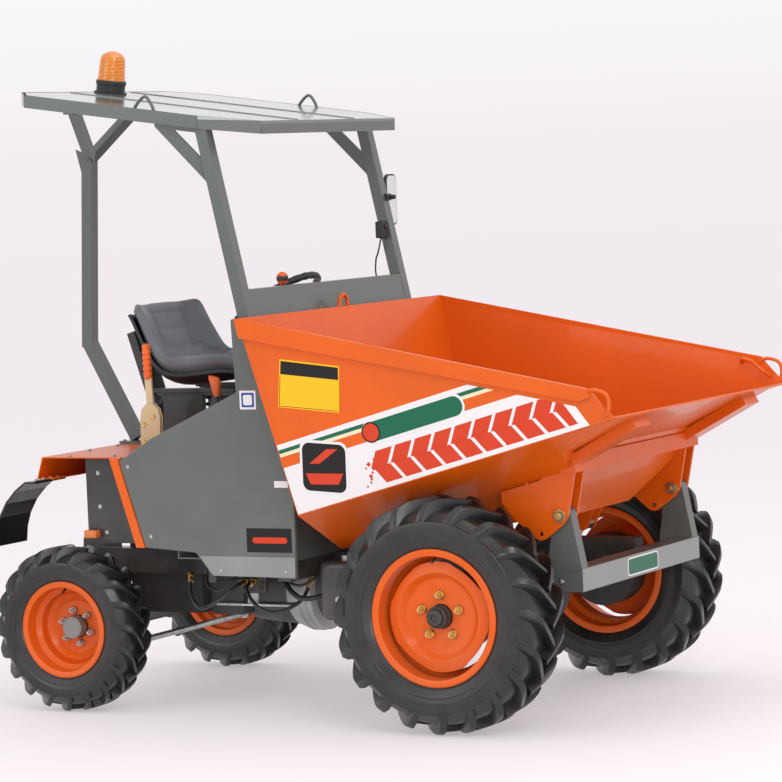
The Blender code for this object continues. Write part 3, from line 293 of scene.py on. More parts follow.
# The seat vinyl's grey is raised above the seat's own darker grey to stand for the highlight on the seat back: its
# own colour plus a painted highlight.
SEAT_VINYL_PAINTED_HIGHLIGHT = vinyl("seat_vinyl_painted_highlight", (0.105, 0.115, 0.127))
BLACK_PLASTIC = moulded("black_plastic", (0.018, 0.018, 0.019), 0.45)
ORANGE_PLASTIC = moulded("orange_plastic", (0.8, 0.12, 0.012), 0.35)
CREAM = paint("cream_paint", (0.62, 0.47, 0.27), 0.42, dust=0.0, coat=0.2)
WELD = casting("painted_weld", (0.74, 0.12, 0.01), 0.35)
WHITE_FILM = film("white_film", (0.74, 0.71, 0.71))
CREAM_FILM = film("cream_film", (0.78, 0.66, 0.44))
GREEN_FILM = film("green_film", (0.006, 0.12, 0.06))
RED_FILM = film("red_film", (0.58, 0.045, 0.012))
DARK_FILM = film("dark_film", (0.01, 0.008, 0.008), 0.4)
YELLOW_FILM = film("yellow_film", (0.86, 0.46, 0.008))
BLUE_FILM = film("blue_film", (0.02, 0.08, 0.32))
MIRROR_GLASS = Finish("mirror_glass", (0.8, 0.82, 0.83), 0.03, 1.0).material
AMBER = lens("amber_lens", (0.8, 0.24, 0.005), 0.96)
LAMP_ORANGE = lens("lamp_lens", (0.9, 0.2, 0.02), 1.0)

# ---------------------------------------------------------------- mesh building


def angles(count, start=0.0):
    return [tau * k / count + start for k in range(count)]


def smooth_path(points, steps):
    """Catmull-Rom points through the given ones."""
    points = [Vector(p) for p in points]
    if steps < 2:
        return points
    ends = [points[0] * 2 - points[1], *points, points[-1] * 2 - points[-2]]
    path = []
    for a, b, c, d in zip(ends, ends[1:], ends[2:], ends[3:]):
        for i in range(steps):
            t = i / steps
            path.append(0.5 * (2 * b + (c - a) * t + (2 * a - 5 * b + 4 * c - d) * t * t
                               + (3 * b - a - 3 * c + d) * t ** 3))
    return path + [points[-1]]


def place_in_scene(name, data, material, body):
    """Puts a finished mesh or curve on a moving body."""
    obj = bpy.data.objects.new(name, data)
    bpy.context.scene.collection.objects.link(obj)
    data.materials.append(material)
    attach(obj, body)
    return obj


class Piece:
    """A mesh under construction, made of many small solids; each method hands the piece back."""

    def __init__(self, name):
        self.name, self.bm = name, bmesh.new()

    def absorb(self, made, matrix=Matrix()):
        made.transform(matrix)
        mesh = bpy.data.meshes.new("part")
        made.to_mesh(mesh)
        made.free()
        self.bm.from_mesh(mesh)
        bpy.data.meshes.remove(mesh)
        return self

    def cube(self, matrix):
        made = bmesh.new()
        bmesh.ops.create_cube(made, size=1.0)
        return self.absorb(made, matrix)

    def box(self, low, high):
        low, high = Vector(low), Vector(high)
        return self.cube(Matrix.Translation((low + high) / 2) @ Matrix.Diagonal((*(high - low), 1.0)))

    def bar(self, start, end, across, deep, up=(1, 0, 0)):
        start, end, up = Vector(start), Vector(end), Vector(up)
        along = (end - start).normalized()
        first = (up - along * up.dot(along)).normalized()
        turn = Matrix((first, along.cross(first), along)).transposed().to_4x4()
        scale = Matrix.Diagonal((across, deep, (end - start).length, 1.0))
        return self.cube(Matrix.Translation((start + end) / 2) @ turn @ scale)

    def rod(self, start, end, radius, sides=16, end_radius=None):
        start, end = Vector(start), Vector(end)
        made = bmesh.new()
        far = radius if end_radius is None else end_radius
        bmesh.ops.create_cone(made, cap_ends=True, segments=sides, radius1=radius, radius2=far,
                              depth=(end - start).length)
        turn = (end - start).to_track_quat("Z", "Y").to_matrix().to_4x4()
        return self.absorb(made, Matrix.Translation((start + end) / 2) @ turn)

    def rods(self, place, normal, steps):
        """Short coaxial rods, each from a near to a far height above a face."""
        place, normal = Vector(place), Vector(normal).normalized()
        for near, far, radius, sides, end_radius in steps:
            self.rod(place + normal * near, place + normal * far, radius, sides, end_radius)
        return self

    def bolts(self, places, normal, size=0.01, height=0.007):
        """Hex heads, each with its washer and a rounded crown."""
        for place in places:
            self.rods(place, normal, ((0, height * 0.25, size * 1.35, 20, None), (0, height, size, 6, None),
                                      (height, height * 1.25, size * 0.86, 6, size * 0.6)))
        return self

    def stud(self, place, normal, size):
        """A wheel nut on its stud."""
        return self.rods(place, normal, ((0, 0.005, size * 1.5, 24, size * 1.2), (0.004, 0.018, size, 6, None),
                                         (0.017, 0.028, size * 0.55, 14, size * 0.45)))

    def slab(self, corners, depth, flip=False):
        """A flat outline given as points in space, thickened along its own normal."""
        made = bmesh.new()
        corners = [made.verts.new(c) for c in (reversed(corners) if flip else corners)]
        face = made.faces.new(corners)
        face.normal_update()
        normal = face.normal.copy()
        grown = bmesh.ops.extrude_face_region(made, geom=[face])
        moved = [v for v in grown["geom"] if isinstance(v, bmesh.types.BMVert)]
        bmesh.ops.translate(made, verts=moved, vec=normal * depth)
        bmesh.ops.recalc_face_normals(made, faces=made.faces)
        return self.absorb(made)

    def turned(self, profile, centre, axis, steps=64):
        """A closed profile of (along, radius) points turned about an axis."""
        made = bmesh.new()
        verts = [made.verts.new((radius, 0, along)) for along, radius in profile]
        edges = [made.edges.new((verts[i - 1], verts[i])) for i in range(len(verts))]
        bmesh.ops.spin(made, geom=verts + edges, cent=(0, 0, 0), axis=(0, 0, 1), angle=tau,
                       steps=steps, use_merge=True)
        bmesh.ops.remove_doubles(made, verts=made.verts, dist=0.00002)
        bmesh.ops.recalc_face_normals(made, faces=made.faces)
        turn = Vector(axis).to_track_quat("Z", "Y").to_matrix().to_4x4()
        return self.absorb(made, Matrix.Translation(centre) @ turn)

    def loft(self, sections, looped=False, matrix=Matrix()):
        """Skins a row of sections, each a ring of the same number of points."""
        made = bmesh.new()
        rings = [[made.verts.new(p) for p in section] for section in sections]
        following = rings[1:] + rings[:1] if looped else rings[1:]
        for near, far in zip(rings, following):
            for k in range(-1, len(near) - 1):
                made.faces.new((near[k], near[k + 1], far[k + 1], far[k]))
        if not looped:
            made.faces.new(rings[0])
            made.faces.new(list(reversed(rings[-1])))
        bmesh.ops.recalc_face_normals(made, faces=made.faces)
        return self.absorb(made, matrix)

    def tube(self, points, radius, sides=10, smooth_steps=6):
        """A round tube along a smooth path through points."""
        path = smooth_path(points, smooth_steps)
        side = Vector((0, 0, 1)) if abs((path[1] - path[0]).normalized().z) < 0.9 else Vector((1, 0, 0))
        rings = []
        for i, place in enumerate(path):
            along = (path[min(i + 1, len(path) - 1)] - path[max(i - 1, 0)]).normalized()
            side = (side - along * side.dot(along)).normalized()
            other = along.cross(side)
            rings.append([place + (side * cos(a) + other * sin(a)) * radius for a in angles(sides)])
        return self.loft(rings)

    def done(self, material, slot, body="chassis", bevel=0.0, segments=2, smooth_angle=SHARP_ANGLE, whole=False):
        """Makes the object; a whole piece is shown instead of the CAD piece named by slot, which it hides."""
        mesh = bpy.data.meshes.new(self.name)
        self.bm.to_mesh(mesh)
        self.bm.free()
        mesh.shade_smooth()
        mesh.set_sharp_from_angle(angle=radians(smooth_angle))
        obj = place_in_scene(self.name, mesh, material, body)
        if bevel:
            modifier = obj.modifiers.new("edges", "BEVEL")
            modifier.width, modifier.segments = bevel, segments
            modifier.limit_method, modifier.angle_limit = "ANGLE", radians(SHARP_ANGLE)
            modifier.harden_normals = False
        if whole:
            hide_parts(slot)
        return obj


# ---------------------------------------------------------------- wheels

WHEELS = {
    "front": {"axle": (0.638, -0.578, 0.38), "radius": 0.38, "width": 0.25, "flange": 0.2225, "seat": 0.204,
              "rim_width": 0.212, "set_back": 0.055, "lugs": 20, "lug": 0.034, "bolts": 5, "pcd": 0.07},
    "rear": {"axle": (0.526, 0.934, 0.284), "radius": 0.284, "width": 0.17, "flange": 0.166, "seat": 0.15,
             "rim_width": 0.139, "set_back": 0.094, "lugs": 20, "lug": 0.024, "bolts": 6, "pcd": 0.058},
}


def tyre_surface(size, share):
    """Outer radius of the tread's envelope at a share of the half width."""
    flat = 0.42
    fall = max(0.0, (abs(share) - flat) / (1 - flat))
    return size["radius"] - (size["radius"] - size["flange"]) * 0.34 * fall ** 2.6


def carcass_profile(size):
    half = size["width"] / 2
    wall = size["radius"] - size["flange"]
    bead = size["rim_width"] / 2 - 0.0065
    side = [
        (bead, size["seat"] + 0.0005), (bead, size["flange"] + 0.002), (bead + 0.004, size["flange"] + 0.006),
        (bead + 0.005, size["flange"] + 0.01), (half - 0.01, size["flange"] + wall * 0.16),
        (half - 0.0085, size["flange"] + wall * 0.2), (half - 0.006, size["flange"] + wall * 0.2),
        (half - 0.006, size["flange"] + wall * 0.225), (half - 0.004, size["flange"] + wall * 0.26),
        (half - 0.0015, size["flange"] + wall * 0.36), (half - 0.001, size["flange"] + wall * 0.46),
        (half - 0.004, size["flange"] + wall * 0.56),
    ]
    crown = []
    for i in range(7):
        share = 0.9 * (1 - i / 6)
        crown.append((half * share, tyre_surface(size, share) - size["lug"]))
    outer = side + crown
    inner = [(-along, r) for along, r in reversed(outer[:-1])]
    return outer + inner


def lug_sections(size, side, start_angle, heading):
    """One tread bar from just past the middle, swept back and round the shoulder."""
    half = size["width"] / 2
    step = tau / size["lugs"]
    sweep = step * 1.75
    sections = []
    for i in range(11):
        t = i / 10
        share = -0.1 + 1.06 * t
        if t > 0.92:
            share = 0.955 + (t - 0.92) * 0.2
        angle = start_angle + heading * sweep * (t ** 1.12) * 0.62
        top = tyre_surface(size, min(share, 0.97))
        if t > 0.85:
            top -= (t - 0.85) * size["lug"] * 5.2
        low = tyre_surface(size, min(share, 0.9)) - size["lug"] - 0.004
        low -= max(0.0, t - 0.7) * size["lug"] * 3.6
        thick = step * (0.155 + 0.1 * t) * (0.92 if t < 0.05 else 1.0)
        foot = thick * 1.35
        along = side * half * share
        ring = []
        for offset, radius in ((-foot, low), (-thick, top - 0.004), (-thick * 0.88, top), (thick * 0.88, top),
                               (thick, top - 0.004), (foot, low)):
            a = angle + offset * 0.5
            ring.append(Vector((along, radius * cos(a), radius * sin(a))))
        sections.append(ring)
    return sections


def tyre(end, word, size, centre):
    piece = Piece(f"tyre_{end}_{word}_rubber")
    piece.turned(carcass_profile(size), centre, (1, 0, 0), 96)
    step = tau / size["lugs"]
    for flank in (-1, 1):
        for i in range(size["lugs"]):
            lug = lug_sections(size, flank, step * (i + 0.25 * flank), -1)
            piece.loft(lug, matrix=Matrix.Translation(centre))
    radius = size["flange"] + (size["radius"] - size["flange"]) * 0.33
    bead_line = [(-0.0012, radius), (0.0012, radius), (0.0012, radius + 0.003), (-0.0012, radius + 0.003)]
    for flank in (-1, 1):
        piece.turned(bead_line, centre + Vector((flank * (size["width"] / 2 - 0.0022), 0, 0)), (1, 0, 0), 72)
    piece.done(TREAD, f"tyre_{end}_{word}", f"wheel_{end}_{word}", bevel=0.0016, segments=1, whole=True)


def disc_height(size, radius):
    """How far out the pressed disc stands at a radius, from its bolting face."""
    reach = size["seat"] - 0.006
    knee = reach * 0.62
    if radius < knee:
        return 0.0
    if radius < knee + 0.02:
        return 0.022 * (radius - knee) / 0.02
    return 0.022 - 0.013 * (radius - knee - 0.02) / (reach - knee - 0.02)


def rim(end, side, word, size, centre):
    """Barrel with rolled flanges, and a pressed disc with arc slots against the barrel."""
    half, flange, seat = size["rim_width"] / 2, size["flange"], size["seat"]
    wall = 0.005
    well = seat - 0.02
    barrel = [
        (-half, flange - 0.004), (-half + 0.003, flange), (-half + 0.008, flange), (-half + 0.0105, flange - 0.005),
        (-half + 0.01, seat + 0.001), (-half * 0.52, seat - 0.003), (-half * 0.4, well), (half * 0.1, well),
        (half * 0.3, seat - 0.003), (half - 0.01, seat + 0.001), (half - 0.0105, flange - 0.005),
        (half - 0.008, flange), (half - 0.003, flange), (half, flange - 0.004), (half, flange - 0.009),
        (half - 0.004, seat - wall), (half * 0.32, seat - 0.003 - wall), (half * 0.12, well - wall),
        (-half * 0.42, well - wall), (-half * 0.54, seat - 0.003 - wall), (-half + 0.004, seat - wall),
        (-half, flange - 0.009),
    ]
    piece = Piece(f"rim_{end}_{word}_painted")
    piece.turned([(side * a, r) for a, r in barrel], centre, (1, 0, 0), 96)
    bolt_face = half - size["set_back"] - 0.004
    reach = (well if end == "front" else seat) - wall - 0.0005
    knee = (seat - 0.006) * 0.62
    steps, slots, first_slot, slot_half, slot_depth = 96, 4, 10, 6, 0.0065
    made = bmesh.new()
    rings = []
    for radius in (0.04, 0.05, (0.05 + knee) / 2, knee, knee + 0.01, knee + 0.02, knee + 0.03, None):
        ring = []
        for k, angle in enumerate(angles(steps)):
            place = radius
            if radius is None:
                off = min(abs((k - first_slot - q * steps // slots + steps // 2) % steps - steps // 2)
                          for q in range(slots))
                place = reach
                if off <= slot_half:
                    place -= 0.001 + slot_depth * sqrt(1 - (off / slot_half) ** 2)
            ring.append(made.verts.new((side * (bolt_face + disc_height(size, place)),
                                        place * cos(angle), place * sin(angle))))
        rings.append(ring)
    for near, far in zip(rings, rings[1:]):
        for k in range(-1, steps - 1):
            made.faces.new((near[k], near[k + 1], far[k + 1], far[k]))
    made.normal_update()
    bmesh.ops.solidify(made, geom=list(made.faces), thickness=0.007)
    bmesh.ops.recalc_face_normals(made, faces=made.faces)
    piece.absorb(made, Matrix.Translation(centre))
    body, slot = f"wheel_{end}_{word}", f"rim_{end}_{word}"
    piece.done(RIM_ORANGE, slot, body, bevel=0.0012, smooth_angle=28, whole=True)
    nuts = Piece(f"wheel_nuts_{end}_{word}")
    plane = side * (bolt_face + 0.0035)
    for angle in angles(size["bolts"], 0.31):
        place = centre + Vector((plane, size["pcd"] * cos(angle), size["pcd"] * sin(angle)))
        nuts.stud(place, (side, 0, 0), 0.011 if end == "front" else 0.0085)
    nuts.done(YELLOW_ZINC if end == "front" else ZINC, slot, body)
    base = centre + Vector((side * (half - 0.03), 0, seat - 0.012))
    valve = Piece(f"tyre_valve_{end}_{word}")
    valve.rod(base, base + Vector((side * 0.02, 0, -0.014)), 0.004, 12).done(BLACK_PLASTIC, slot, body)


def hub(end, side, word, size, centre):
    """Hub nose and cap in the wheel's middle; it stays with the axle."""
    centre = centre + Vector((side * (size["rim_width"] / 2 - size["set_back"]), 0, 0))
    piece = Piece(f"hub_{end}_{word}")
    if end == "front":
        profile = [(0.0, 0.0), (0.0, 0.0385), (0.01, 0.0385), (0.012, 0.034), (0.03, 0.033), (0.033, 0.029),
                   (0.046, 0.026), (0.05, 0.02), (0.05, 0.012), (0.044, 0.01), (0.044, 0.0)]
        body, node, material = "chassis", "front_axle", HUB_DARK
    else:
        profile = [(0.0, 0.0), (0.0, 0.0385), (0.036, 0.0385), (0.0385, 0.036), (0.0385, 0.005), (0.037, 0.003),
                   (0.037, 0.0)]
        body, node, material = f"knuckle_{word}", f"knuckle_rear_{word}", CAP_GREY
    piece.turned([(side * a, r) for a, r in profile], centre, (1, 0, 0), 40)
    for angle in angles(8 if end == "front" else 0):
        around = Vector((0, 0.0355 * cos(angle), 0.0355 * sin(angle)))
        piece.rod(centre + around + Vector((side * 0.008, 0, 0)), centre + around + Vector((side * 0.016, 0, 0)),
                  0.0026, 6)
    piece.done(material, node, body, bevel=0.0006, segments=1)


for side, word in SIDES:
    for end, size in WHEELS.items():
        x, y, z = size["axle"]
        centre = Vector((side * x, y, z))
        tyre(end, word, size, centre)
        rim(end, side, word, size, centre)
        hub(end, side, word, size, centre)

# ---------------------------------------------------------------- finishes of the carried-over pieces

PLAIN_FINISHES = (
    (BLACK, "chassis_frame rear_axle rear_side_plate_* seat_base steering_column tip_cylinder_barrel"),
    # The bumper is one grey part shown in two greys: front_bumper takes this darker grey as painted shade on its arms
    # and sides, and the lighter sheet on its front face further down is painted light.
    (GREY, "front_bumper front_bulkhead floor_plate side_panel_*"), (ORANGE, "rear_deck"), (ZINC, "tie_rod"),
    (CAST_DARK, "front_axle engine_block knuckle_rear_*"), (CASE_GREY, "gearbox"), (SKIP_ORANGE, "skip"),
    # canopy_roof takes the lighter roof grey: its grey paint plus a painted reflection of the pale studio.
    (POST_GREY, "canopy_post_front_* canopy_post_rear"), (ROOF_GREY_PAINTED_REFLECTION, "canopy_roof"), (SHEET_RUBBER, "mudguard_*"),
    (BLACK_PLASTIC, "beacon_base mirror steering_wheel tip_lever"), (ORANGE_PLASTIC, "brake_grip gear_lever"),
    (LAMP_ORANGE, "marker_lamp_*"), (AMBER, "beacon_lens"), (CREAM, "brake_lever"), (CHROME, "tip_cylinder_rod"),
    # The seat takes the lightened vinyl: its own dark grey plus a painted highlight.
    (SEAT_VINYL_PAINTED_HIGHLIGHT, "seat"),
)
for material, names in PLAIN_FINISHES:
    for name in names.split():
        for side, word in SIDES:
            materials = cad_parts[name.replace("*", word)].data.materials
            materials.clear()
            materials.append(material)

# ---------------------------------------------------------------- skip: films, plates, rim, welds

RIM_REAR = (0.116, 1.342)
RIM_FRONT = (-1.127, 1.107)
SKIP_HALF = 0.712
WALL_LEAN = 0.092
STRIPE_SLOPE = -0.272


def rim_height(y):
    share = (y - RIM_FRONT[0]) / (RIM_REAR[0] - RIM_FRONT[0])
    return RIM_FRONT[1] + (RIM_REAR[1] - RIM_FRONT[1]) * share


def on_wall(side, y, z, proud):
    """A point on the outer face of the skip's side wall."""
    return Vector((side * (SKIP_HALF - WALL_LEAN * (rim_height(y) - z) + proud), y, z))


def clip(outline, start, end):
    """Keeps the part of a flat outline that lies left of the line from start to end."""
    (ax, ay), (bx, by) = start, end
    kept = []
    for (px, py), (qx, qy) in zip(outline, outline[1:] + outline[:1]):
        p = (bx - ax) * (py - ay) - (by - ay) * (px - ax)
        q = (bx - ax) * (qy - ay) - (by - ay) * (qx - ax)
        if p >= 0:
            kept.append((px, py))
        if p * q < 0:
            t = p / (p - q)
            kept.append((px + (qx - px) * t, py + (qy - py) * t))
    return kept


FILM_FIELD = [
    ((0.112, 1.278), (-1.1, 1.049)), ((-1.094, 1.046), (-1.14, 0.984)),
    ((-1.13, 0.99), (-0.042, 0.6945)), ((-0.0525, 0.693), (0.112, 1.34)),
]


def on_field(outline):
    """Keeps the part of an outline that lies on the wall's film field."""
    for line in FILM_FIELD:
        outline = clip(outline, *line)
    return outline


def stripe(top, foot, rear=0.2, front=-1.3):
    """A slanting strip between two levels, cut off where the wall's film ends."""
    return on_field([(y, level + STRIPE_SLOPE * y) for y, level in
                     ((rear, top), (front, top), (front, foot), (rear, foot))])


def rounded(centre, half, radius, slope=0.0, steps=8):
    """Outline of a round-cornered plate, turned by a slope."""
    turn = atan2(slope, 1)
    outline = []
    for quarter, (sy, sz) in enumerate(((1, 1), (-1, 1), (-1, -1), (1, -1))):
        for i in range(steps + 1):
            angle = pi / 2 * (quarter + i / steps)
            y = sy * (half[0] - radius) + radius * cos(angle)
            z = sz * (half[1] - radius) + radius * sin(angle)
            outline.append((centre[0] + y * cos(turn) - z * sin(turn), centre[1] + y * sin(turn) + z * cos(turn)))
    return outline


def chevron_bars():
    """Slanted bars in two staggered rows, like a tread print, with a few loose dots."""
    bars = []
    top, middle, foot = 0.81, 0.757, 0.699
    for i in range(10):
        y = -0.362 - 0.0745 * i
        upper = [(y - 0.062, top), (y, top), (y + 0.022, middle), (y - 0.04, middle)]
        lower = [(y - 0.032, foot), (y - 0.094, foot), (y - 0.05, middle + 0.001), (y + 0.012, middle + 0.001)]
        for bar in (upper, lower):
            outline = on_field([(a, b + STRIPE_SLOPE * a) for a, b in bar])
            if len(outline) > 2:
                outline = clip(outline, (-1.07, 1.03), (-1.115, 0.97))
            if len(outline) > 2:
                bars.append(outline)
    dice = Random(4)
    for i in range(9):
        y = -0.318 - 0.022 * dice.random() - 0.01 * (i % 3)
        z = 0.704 + 0.01 * i + STRIPE_SLOPE * y
        size = 0.004 + 0.005 * dice.random()
        bars.append([(y - size, z), (y, z - size), (y + size, z), (y, z + size)])
    return bars


FILMS = (
    ("stripe_white", 0, WHITE_FILM, [stripe(0.927, 0.909)]),
    ("stripe_green", 0, GREEN_FILM, [stripe(0.909, 0.896)]),
    ("stripe_cream", 0, CREAM_FILM, [stripe(0.896, 0.884)]),
    ("stripe_field", 0, WHITE_FILM, [stripe(0.847, 0.683)]),
    ("stripe_tread_print", 1, RED_FILM, chevron_bars()),
    ("green_plate_border", 2, WHITE_FILM, [rounded((-0.51, 1.012), (0.196, 0.04), 0.038, STRIPE_SLOPE)]),
    ("green_plate", 3, GREEN_FILM, [rounded((-0.51, 1.012), (0.188, 0.032), 0.031, STRIPE_SLOPE)]),
    ("green_plate_disc_edge", 4, DARK_FILM, [rounded((-0.352, 0.969), (0.034, 0.034), 0.0335)]),
    ("green_plate_disc", 5, RED_FILM, [rounded((-0.352, 0.969), (0.029, 0.029), 0.0285)]),
    ("square_plate_border", 2, WHITE_FILM, [rounded((-0.166, 0.853), (0.09, 0.088), 0.032, 0.06)]),
    ("square_plate", 3, DARK_FILM, [rounded((-0.166, 0.853), (0.081, 0.079), 0.026, 0.06)]),
    ("square_plate_bars", 4, RED_FILM, [
        [(-0.112, 0.866), (-0.15, 0.866), (-0.222, 0.914), (-0.18, 0.914)],
        [(-0.096, 0.834), (-0.236, 0.834), (-0.216, 0.798), (-0.11, 0.798)]]),
    ("yellow_plate", 0, YELLOW_FILM, [[(-0.012, 1.052), (-0.034, 1.209), (-0.255, 1.184), (-0.24, 1.032)]]),
    ("yellow_plate_head", 1, DARK_FILM, [
        [(-0.0315, 1.16), (-0.0375, 1.203), (-0.25, 1.179), (-0.247, 1.139)]]),
    ("yellow_plate_frame", 1, DARK_FILM, [
        [(-0.0165, 1.0565), (-0.0175, 1.0545), (-0.2365, 1.0365), (-0.236, 1.0385)],
        [(-0.0165, 1.0565), (-0.0295, 1.155), (-0.0315, 1.155), (-0.0185, 1.056)]]),
)
for name, layer, material, outlines in FILMS:
    for side, word in SIDES:
        piece = Piece(f"{name}_{word}")
        for outline in outlines:
            corners = [on_wall(side, y, z, 0.0004 + 0.0004 * layer) for y, z in outline]
            piece.slab(corners, FILM_THICKNESS, flip=side < 0)
        piece.done(material, "skip", "skip")


def weld(piece, start, end, radius=0.0032, ripple=0.009):
    """A bead of overlapping ripples between two points."""
    start, end = Vector(start), Vector(end)
    count = max(2, int((end - start).length / ripple))
    for i in range(count + 1):
        made = bmesh.new()
        bmesh.ops.create_icosphere(made, subdivisions=1, radius=radius)
        piece.absorb(made, Matrix.Translation(start.lerp(end, i / count)))


# Bent-rod lifting eyes past the sloping front corners, welds, and pin retainers
beads, bolts = Piece("skip_weld_beads"), Piece("skip_pin_bolts")
for side, word in SIDES:
    x = side * 0.7065
    eye = [(-1.122, 1.084), (-1.142, 1.1), (-1.172, 1.098), (-1.196, 1.086), (-1.204, 1.062),
           (-1.2, 1.034), (-1.188, 1.018)]
    tube = Piece(f"skip_front_eye_{word}").tube([(x, y, z) for y, z in eye], 0.0062, 14)
    tube.done(SKIP_ORANGE, "skip", "skip")
    for x, rear, low in ((0.402, -0.79, 0.73), (0.478, -0.76, 0.79)):
        weld(beads, (side * x, -0.93, 0.822), (side * x, rear, low))
    for x in (0.4025, 0.4875):
        weld(beads, (side * x, -0.972, 0.878), (side * x, -1.18, 0.99))
    weld(beads, (side * 0.404, -0.976, 0.871), (side * 0.486, -0.976, 0.871))
    for mark, x in ((1, 0.478), (-1, 0.402)):
        bolts.rods((side * x, -0.911, 0.683), (side * mark, 0, 0), (
            (0, 0.006, 0.021, 24, None), (0.005, 0.016, 0.014, 6, None), (0.014, 0.021, 0.0075, 14, None)))
weld(beads, (-0.4, -0.925, 0.872), (0.4, -0.925, 0.872))
beads.done(WELD, "skip", "skip", smooth_angle=60)
bolts.done(YELLOW_ZINC, "skip", "skip", bevel=0.0006, segments=1)

# ---------------------------------------------------------------- cab plates, bolts, deck, levers

PANEL_FACE = 0.5923
PANEL_PLATES = (
    ("column_plate", (0.159, 1.068), (0.031, 0.031), 0.002, WHITE_FILM, 0.0002),
    ("column_plate_mark", (0.159, 1.068), (0.024, 0.024), 0.004, BLUE_FILM, 0.0006),
    ("column_plate_centre", (0.159, 1.068), (0.017, 0.017), 0.006, WHITE_FILM, 0.001),
    ("panel_small_label", (0.046, 0.789), (0.026, 0.011), 0.001, WHITE_FILM, 0.0002),
    ("panel_dark_plate", (0.101, 0.603), (0.086, 0.04), 0.002, DARK_FILM, 0.0002),
    ("panel_dark_plate_bar", (0.098, 0.603), (0.066, 0.01), 0.009, RED_FILM, 0.0006),
)
for name, middle, half, radius, material, proud in PANEL_PLATES:
    for side, word in SIDES:
        if side < 0 or not name.startswith("column"):
            corners = [(side * (PANEL_FACE + proud), y, z) for y, z in rounded(middle, half, radius)]
            Piece(f"{name}_{word}").slab(corners, FILM_THICKNESS, side < 0).done(material, f"side_panel_{word}")


def cab_side_details(side, word):
    """Folded sill and bolts of a side panel, side plate, mudguard strip and deck support."""
    normal = (side, 0, 0)
    outline = [(0.006, 0.48), (0.005, 0.548), (0.372, 0.548), (0.332, 0.494), (0.322, 0.482)]
    sill = Piece(f"panel_sill_{word}").slab([(side * 0.5924, y, z) for y, z in outline], 0.0022, side > 0)
    sill.done(LIGHT_GREY, f"side_panel_{word}", bevel=0.0008)
    for name, x, size, height, slot, places in (
            ("panel_bolts", PANEL_FACE, 0.0052, 0.004, "side_panel",
             ((0.04, 0.5), (0.29, 0.5), (0.56, 0.61), (0.64, 0.845))),
            ("side_plate_bolts", 0.511, 0.0055, 0.005, "rear_side_plate",
             ((0.7, 0.835), (0.815, 0.815), (0.812, 0.7), (0.79, 0.612), (0.69, 0.69)))):
        bolts = Piece(f"{name}_{word}").bolts([(side * x, y, z) for y, z in places], normal, size, height)
        bolts.done(ZINC, f"{slot}_{word}")
    middle = side * 0.548
    strip = Piece(f"mudguard_strip_{word}")
    strip.box((middle - 0.088, 0.99, 0.7963), (middle + 0.088, 1.01, 0.799))
    strip.bolts([(middle + dx, 1.0, 0.7988) for dx in (-0.066, -0.022, 0.022, 0.066)], (0, 0, 1), 0.0052, 0.0045)
    strip.done(ZINC, f"mudguard_{word}")
    near, far = sorted((side * 0.48, side * 0.5045))
    inner = sorted((side * 0.48, side * 0.484))
    foot = Piece(f"side_plate_foot_{word}").box((near, 0.612, 0.5745), (far, 0.862, 0.585))
    foot.box((inner[0], 0.612, 0.5745), (inner[1], 0.72, 0.64))
    foot.done(BLACK, f"rear_side_plate_{word}", bevel=0.0012)
    outline = ((0.892, 0.5305), (1.052, 0.5305), (1.05, 0.56), (0.985, 0.64), (0.892, 0.7))
    gusset = Piece(f"deck_support_{word}").slab([(side * 0.266, y, z) for y, z in outline], 0.004)
    gusset.done(BLACK, "chassis_frame", bevel=0.001)


for side, word in SIDES:
    cab_side_details(side, word)

DECK_BOLTS = ((0.505, 0.6), (0.505, 0.75), (0.505, 0.93), (0.3, 0.985), (0.12, 0.985), (0.33, 0.59))
places = [(side * x, y, 0.8722) for side, word in SIDES for x, y in DECK_BOLTS]
Piece("deck_bolts").bolts(places, (0, 0, 1), 0.0065, 0.0045).done(ZINC, "rear_deck")

# Two cream side plates on a pivot, a slim arm and a ribbed orange grip
x = -0.3125
plates = Piece("brake_lever_plates")
outline = [(0.676, 0.876), (0.672, 0.99), (0.68, 1.018), (0.7, 1.036), (0.728, 1.036), (0.746, 1.018),
           (0.753, 0.99), (0.755, 0.876)]
for dx in (-0.01, 0.007):
    plates.slab([(x + dx, y, z) for y, z in outline], 0.003)
plates.bar((x, 0.714, 0.985), (x - 0.002, 0.72, 1.135), 0.01, 0.026)
plates.done(CREAM, "brake_lever", bevel=0.0012, whole=True)
pins = Piece("brake_lever_pins")
for y, z in ((0.7, 0.992), (0.738, 0.965), (0.708, 0.905), (0.74, 0.905)):
    pins.rod((x - 0.015, y, z), (x + 0.013, y, z), 0.0055, 16)
    pins.rod((x - 0.018, y, z), (x - 0.013, y, z), 0.0085, 6)
pins.done(YELLOW_ZINC, "brake_lever")
profile = [(0.0, 0.0), (0.0, 0.01), (0.003, 0.0135)]
for i in range(5):
    z = 0.012 + i * 0.019
    profile += [(z, 0.015), (z + 0.01, 0.015), (z + 0.012, 0.0128), (z + 0.016, 0.0128)]
profile += [(0.11, 0.015), (0.117, 0.0135), (0.121, 0.008), (0.122, 0.0)]
grip = Piece("brake_lever_grip").turned(profile, (x - 0.002, 0.7195, 1.121), (0, 0.03, 1), 24)
grip.done(ORANGE_PLASTIC, "brake_grip", whole=True)
button = Piece("brake_lever_button").rod((x - 0.002, 0.7228, 1.24), (x - 0.002, 0.723, 1.247), 0.006, 16)
button.done(BLACK_PLASTIC, "brake_grip")

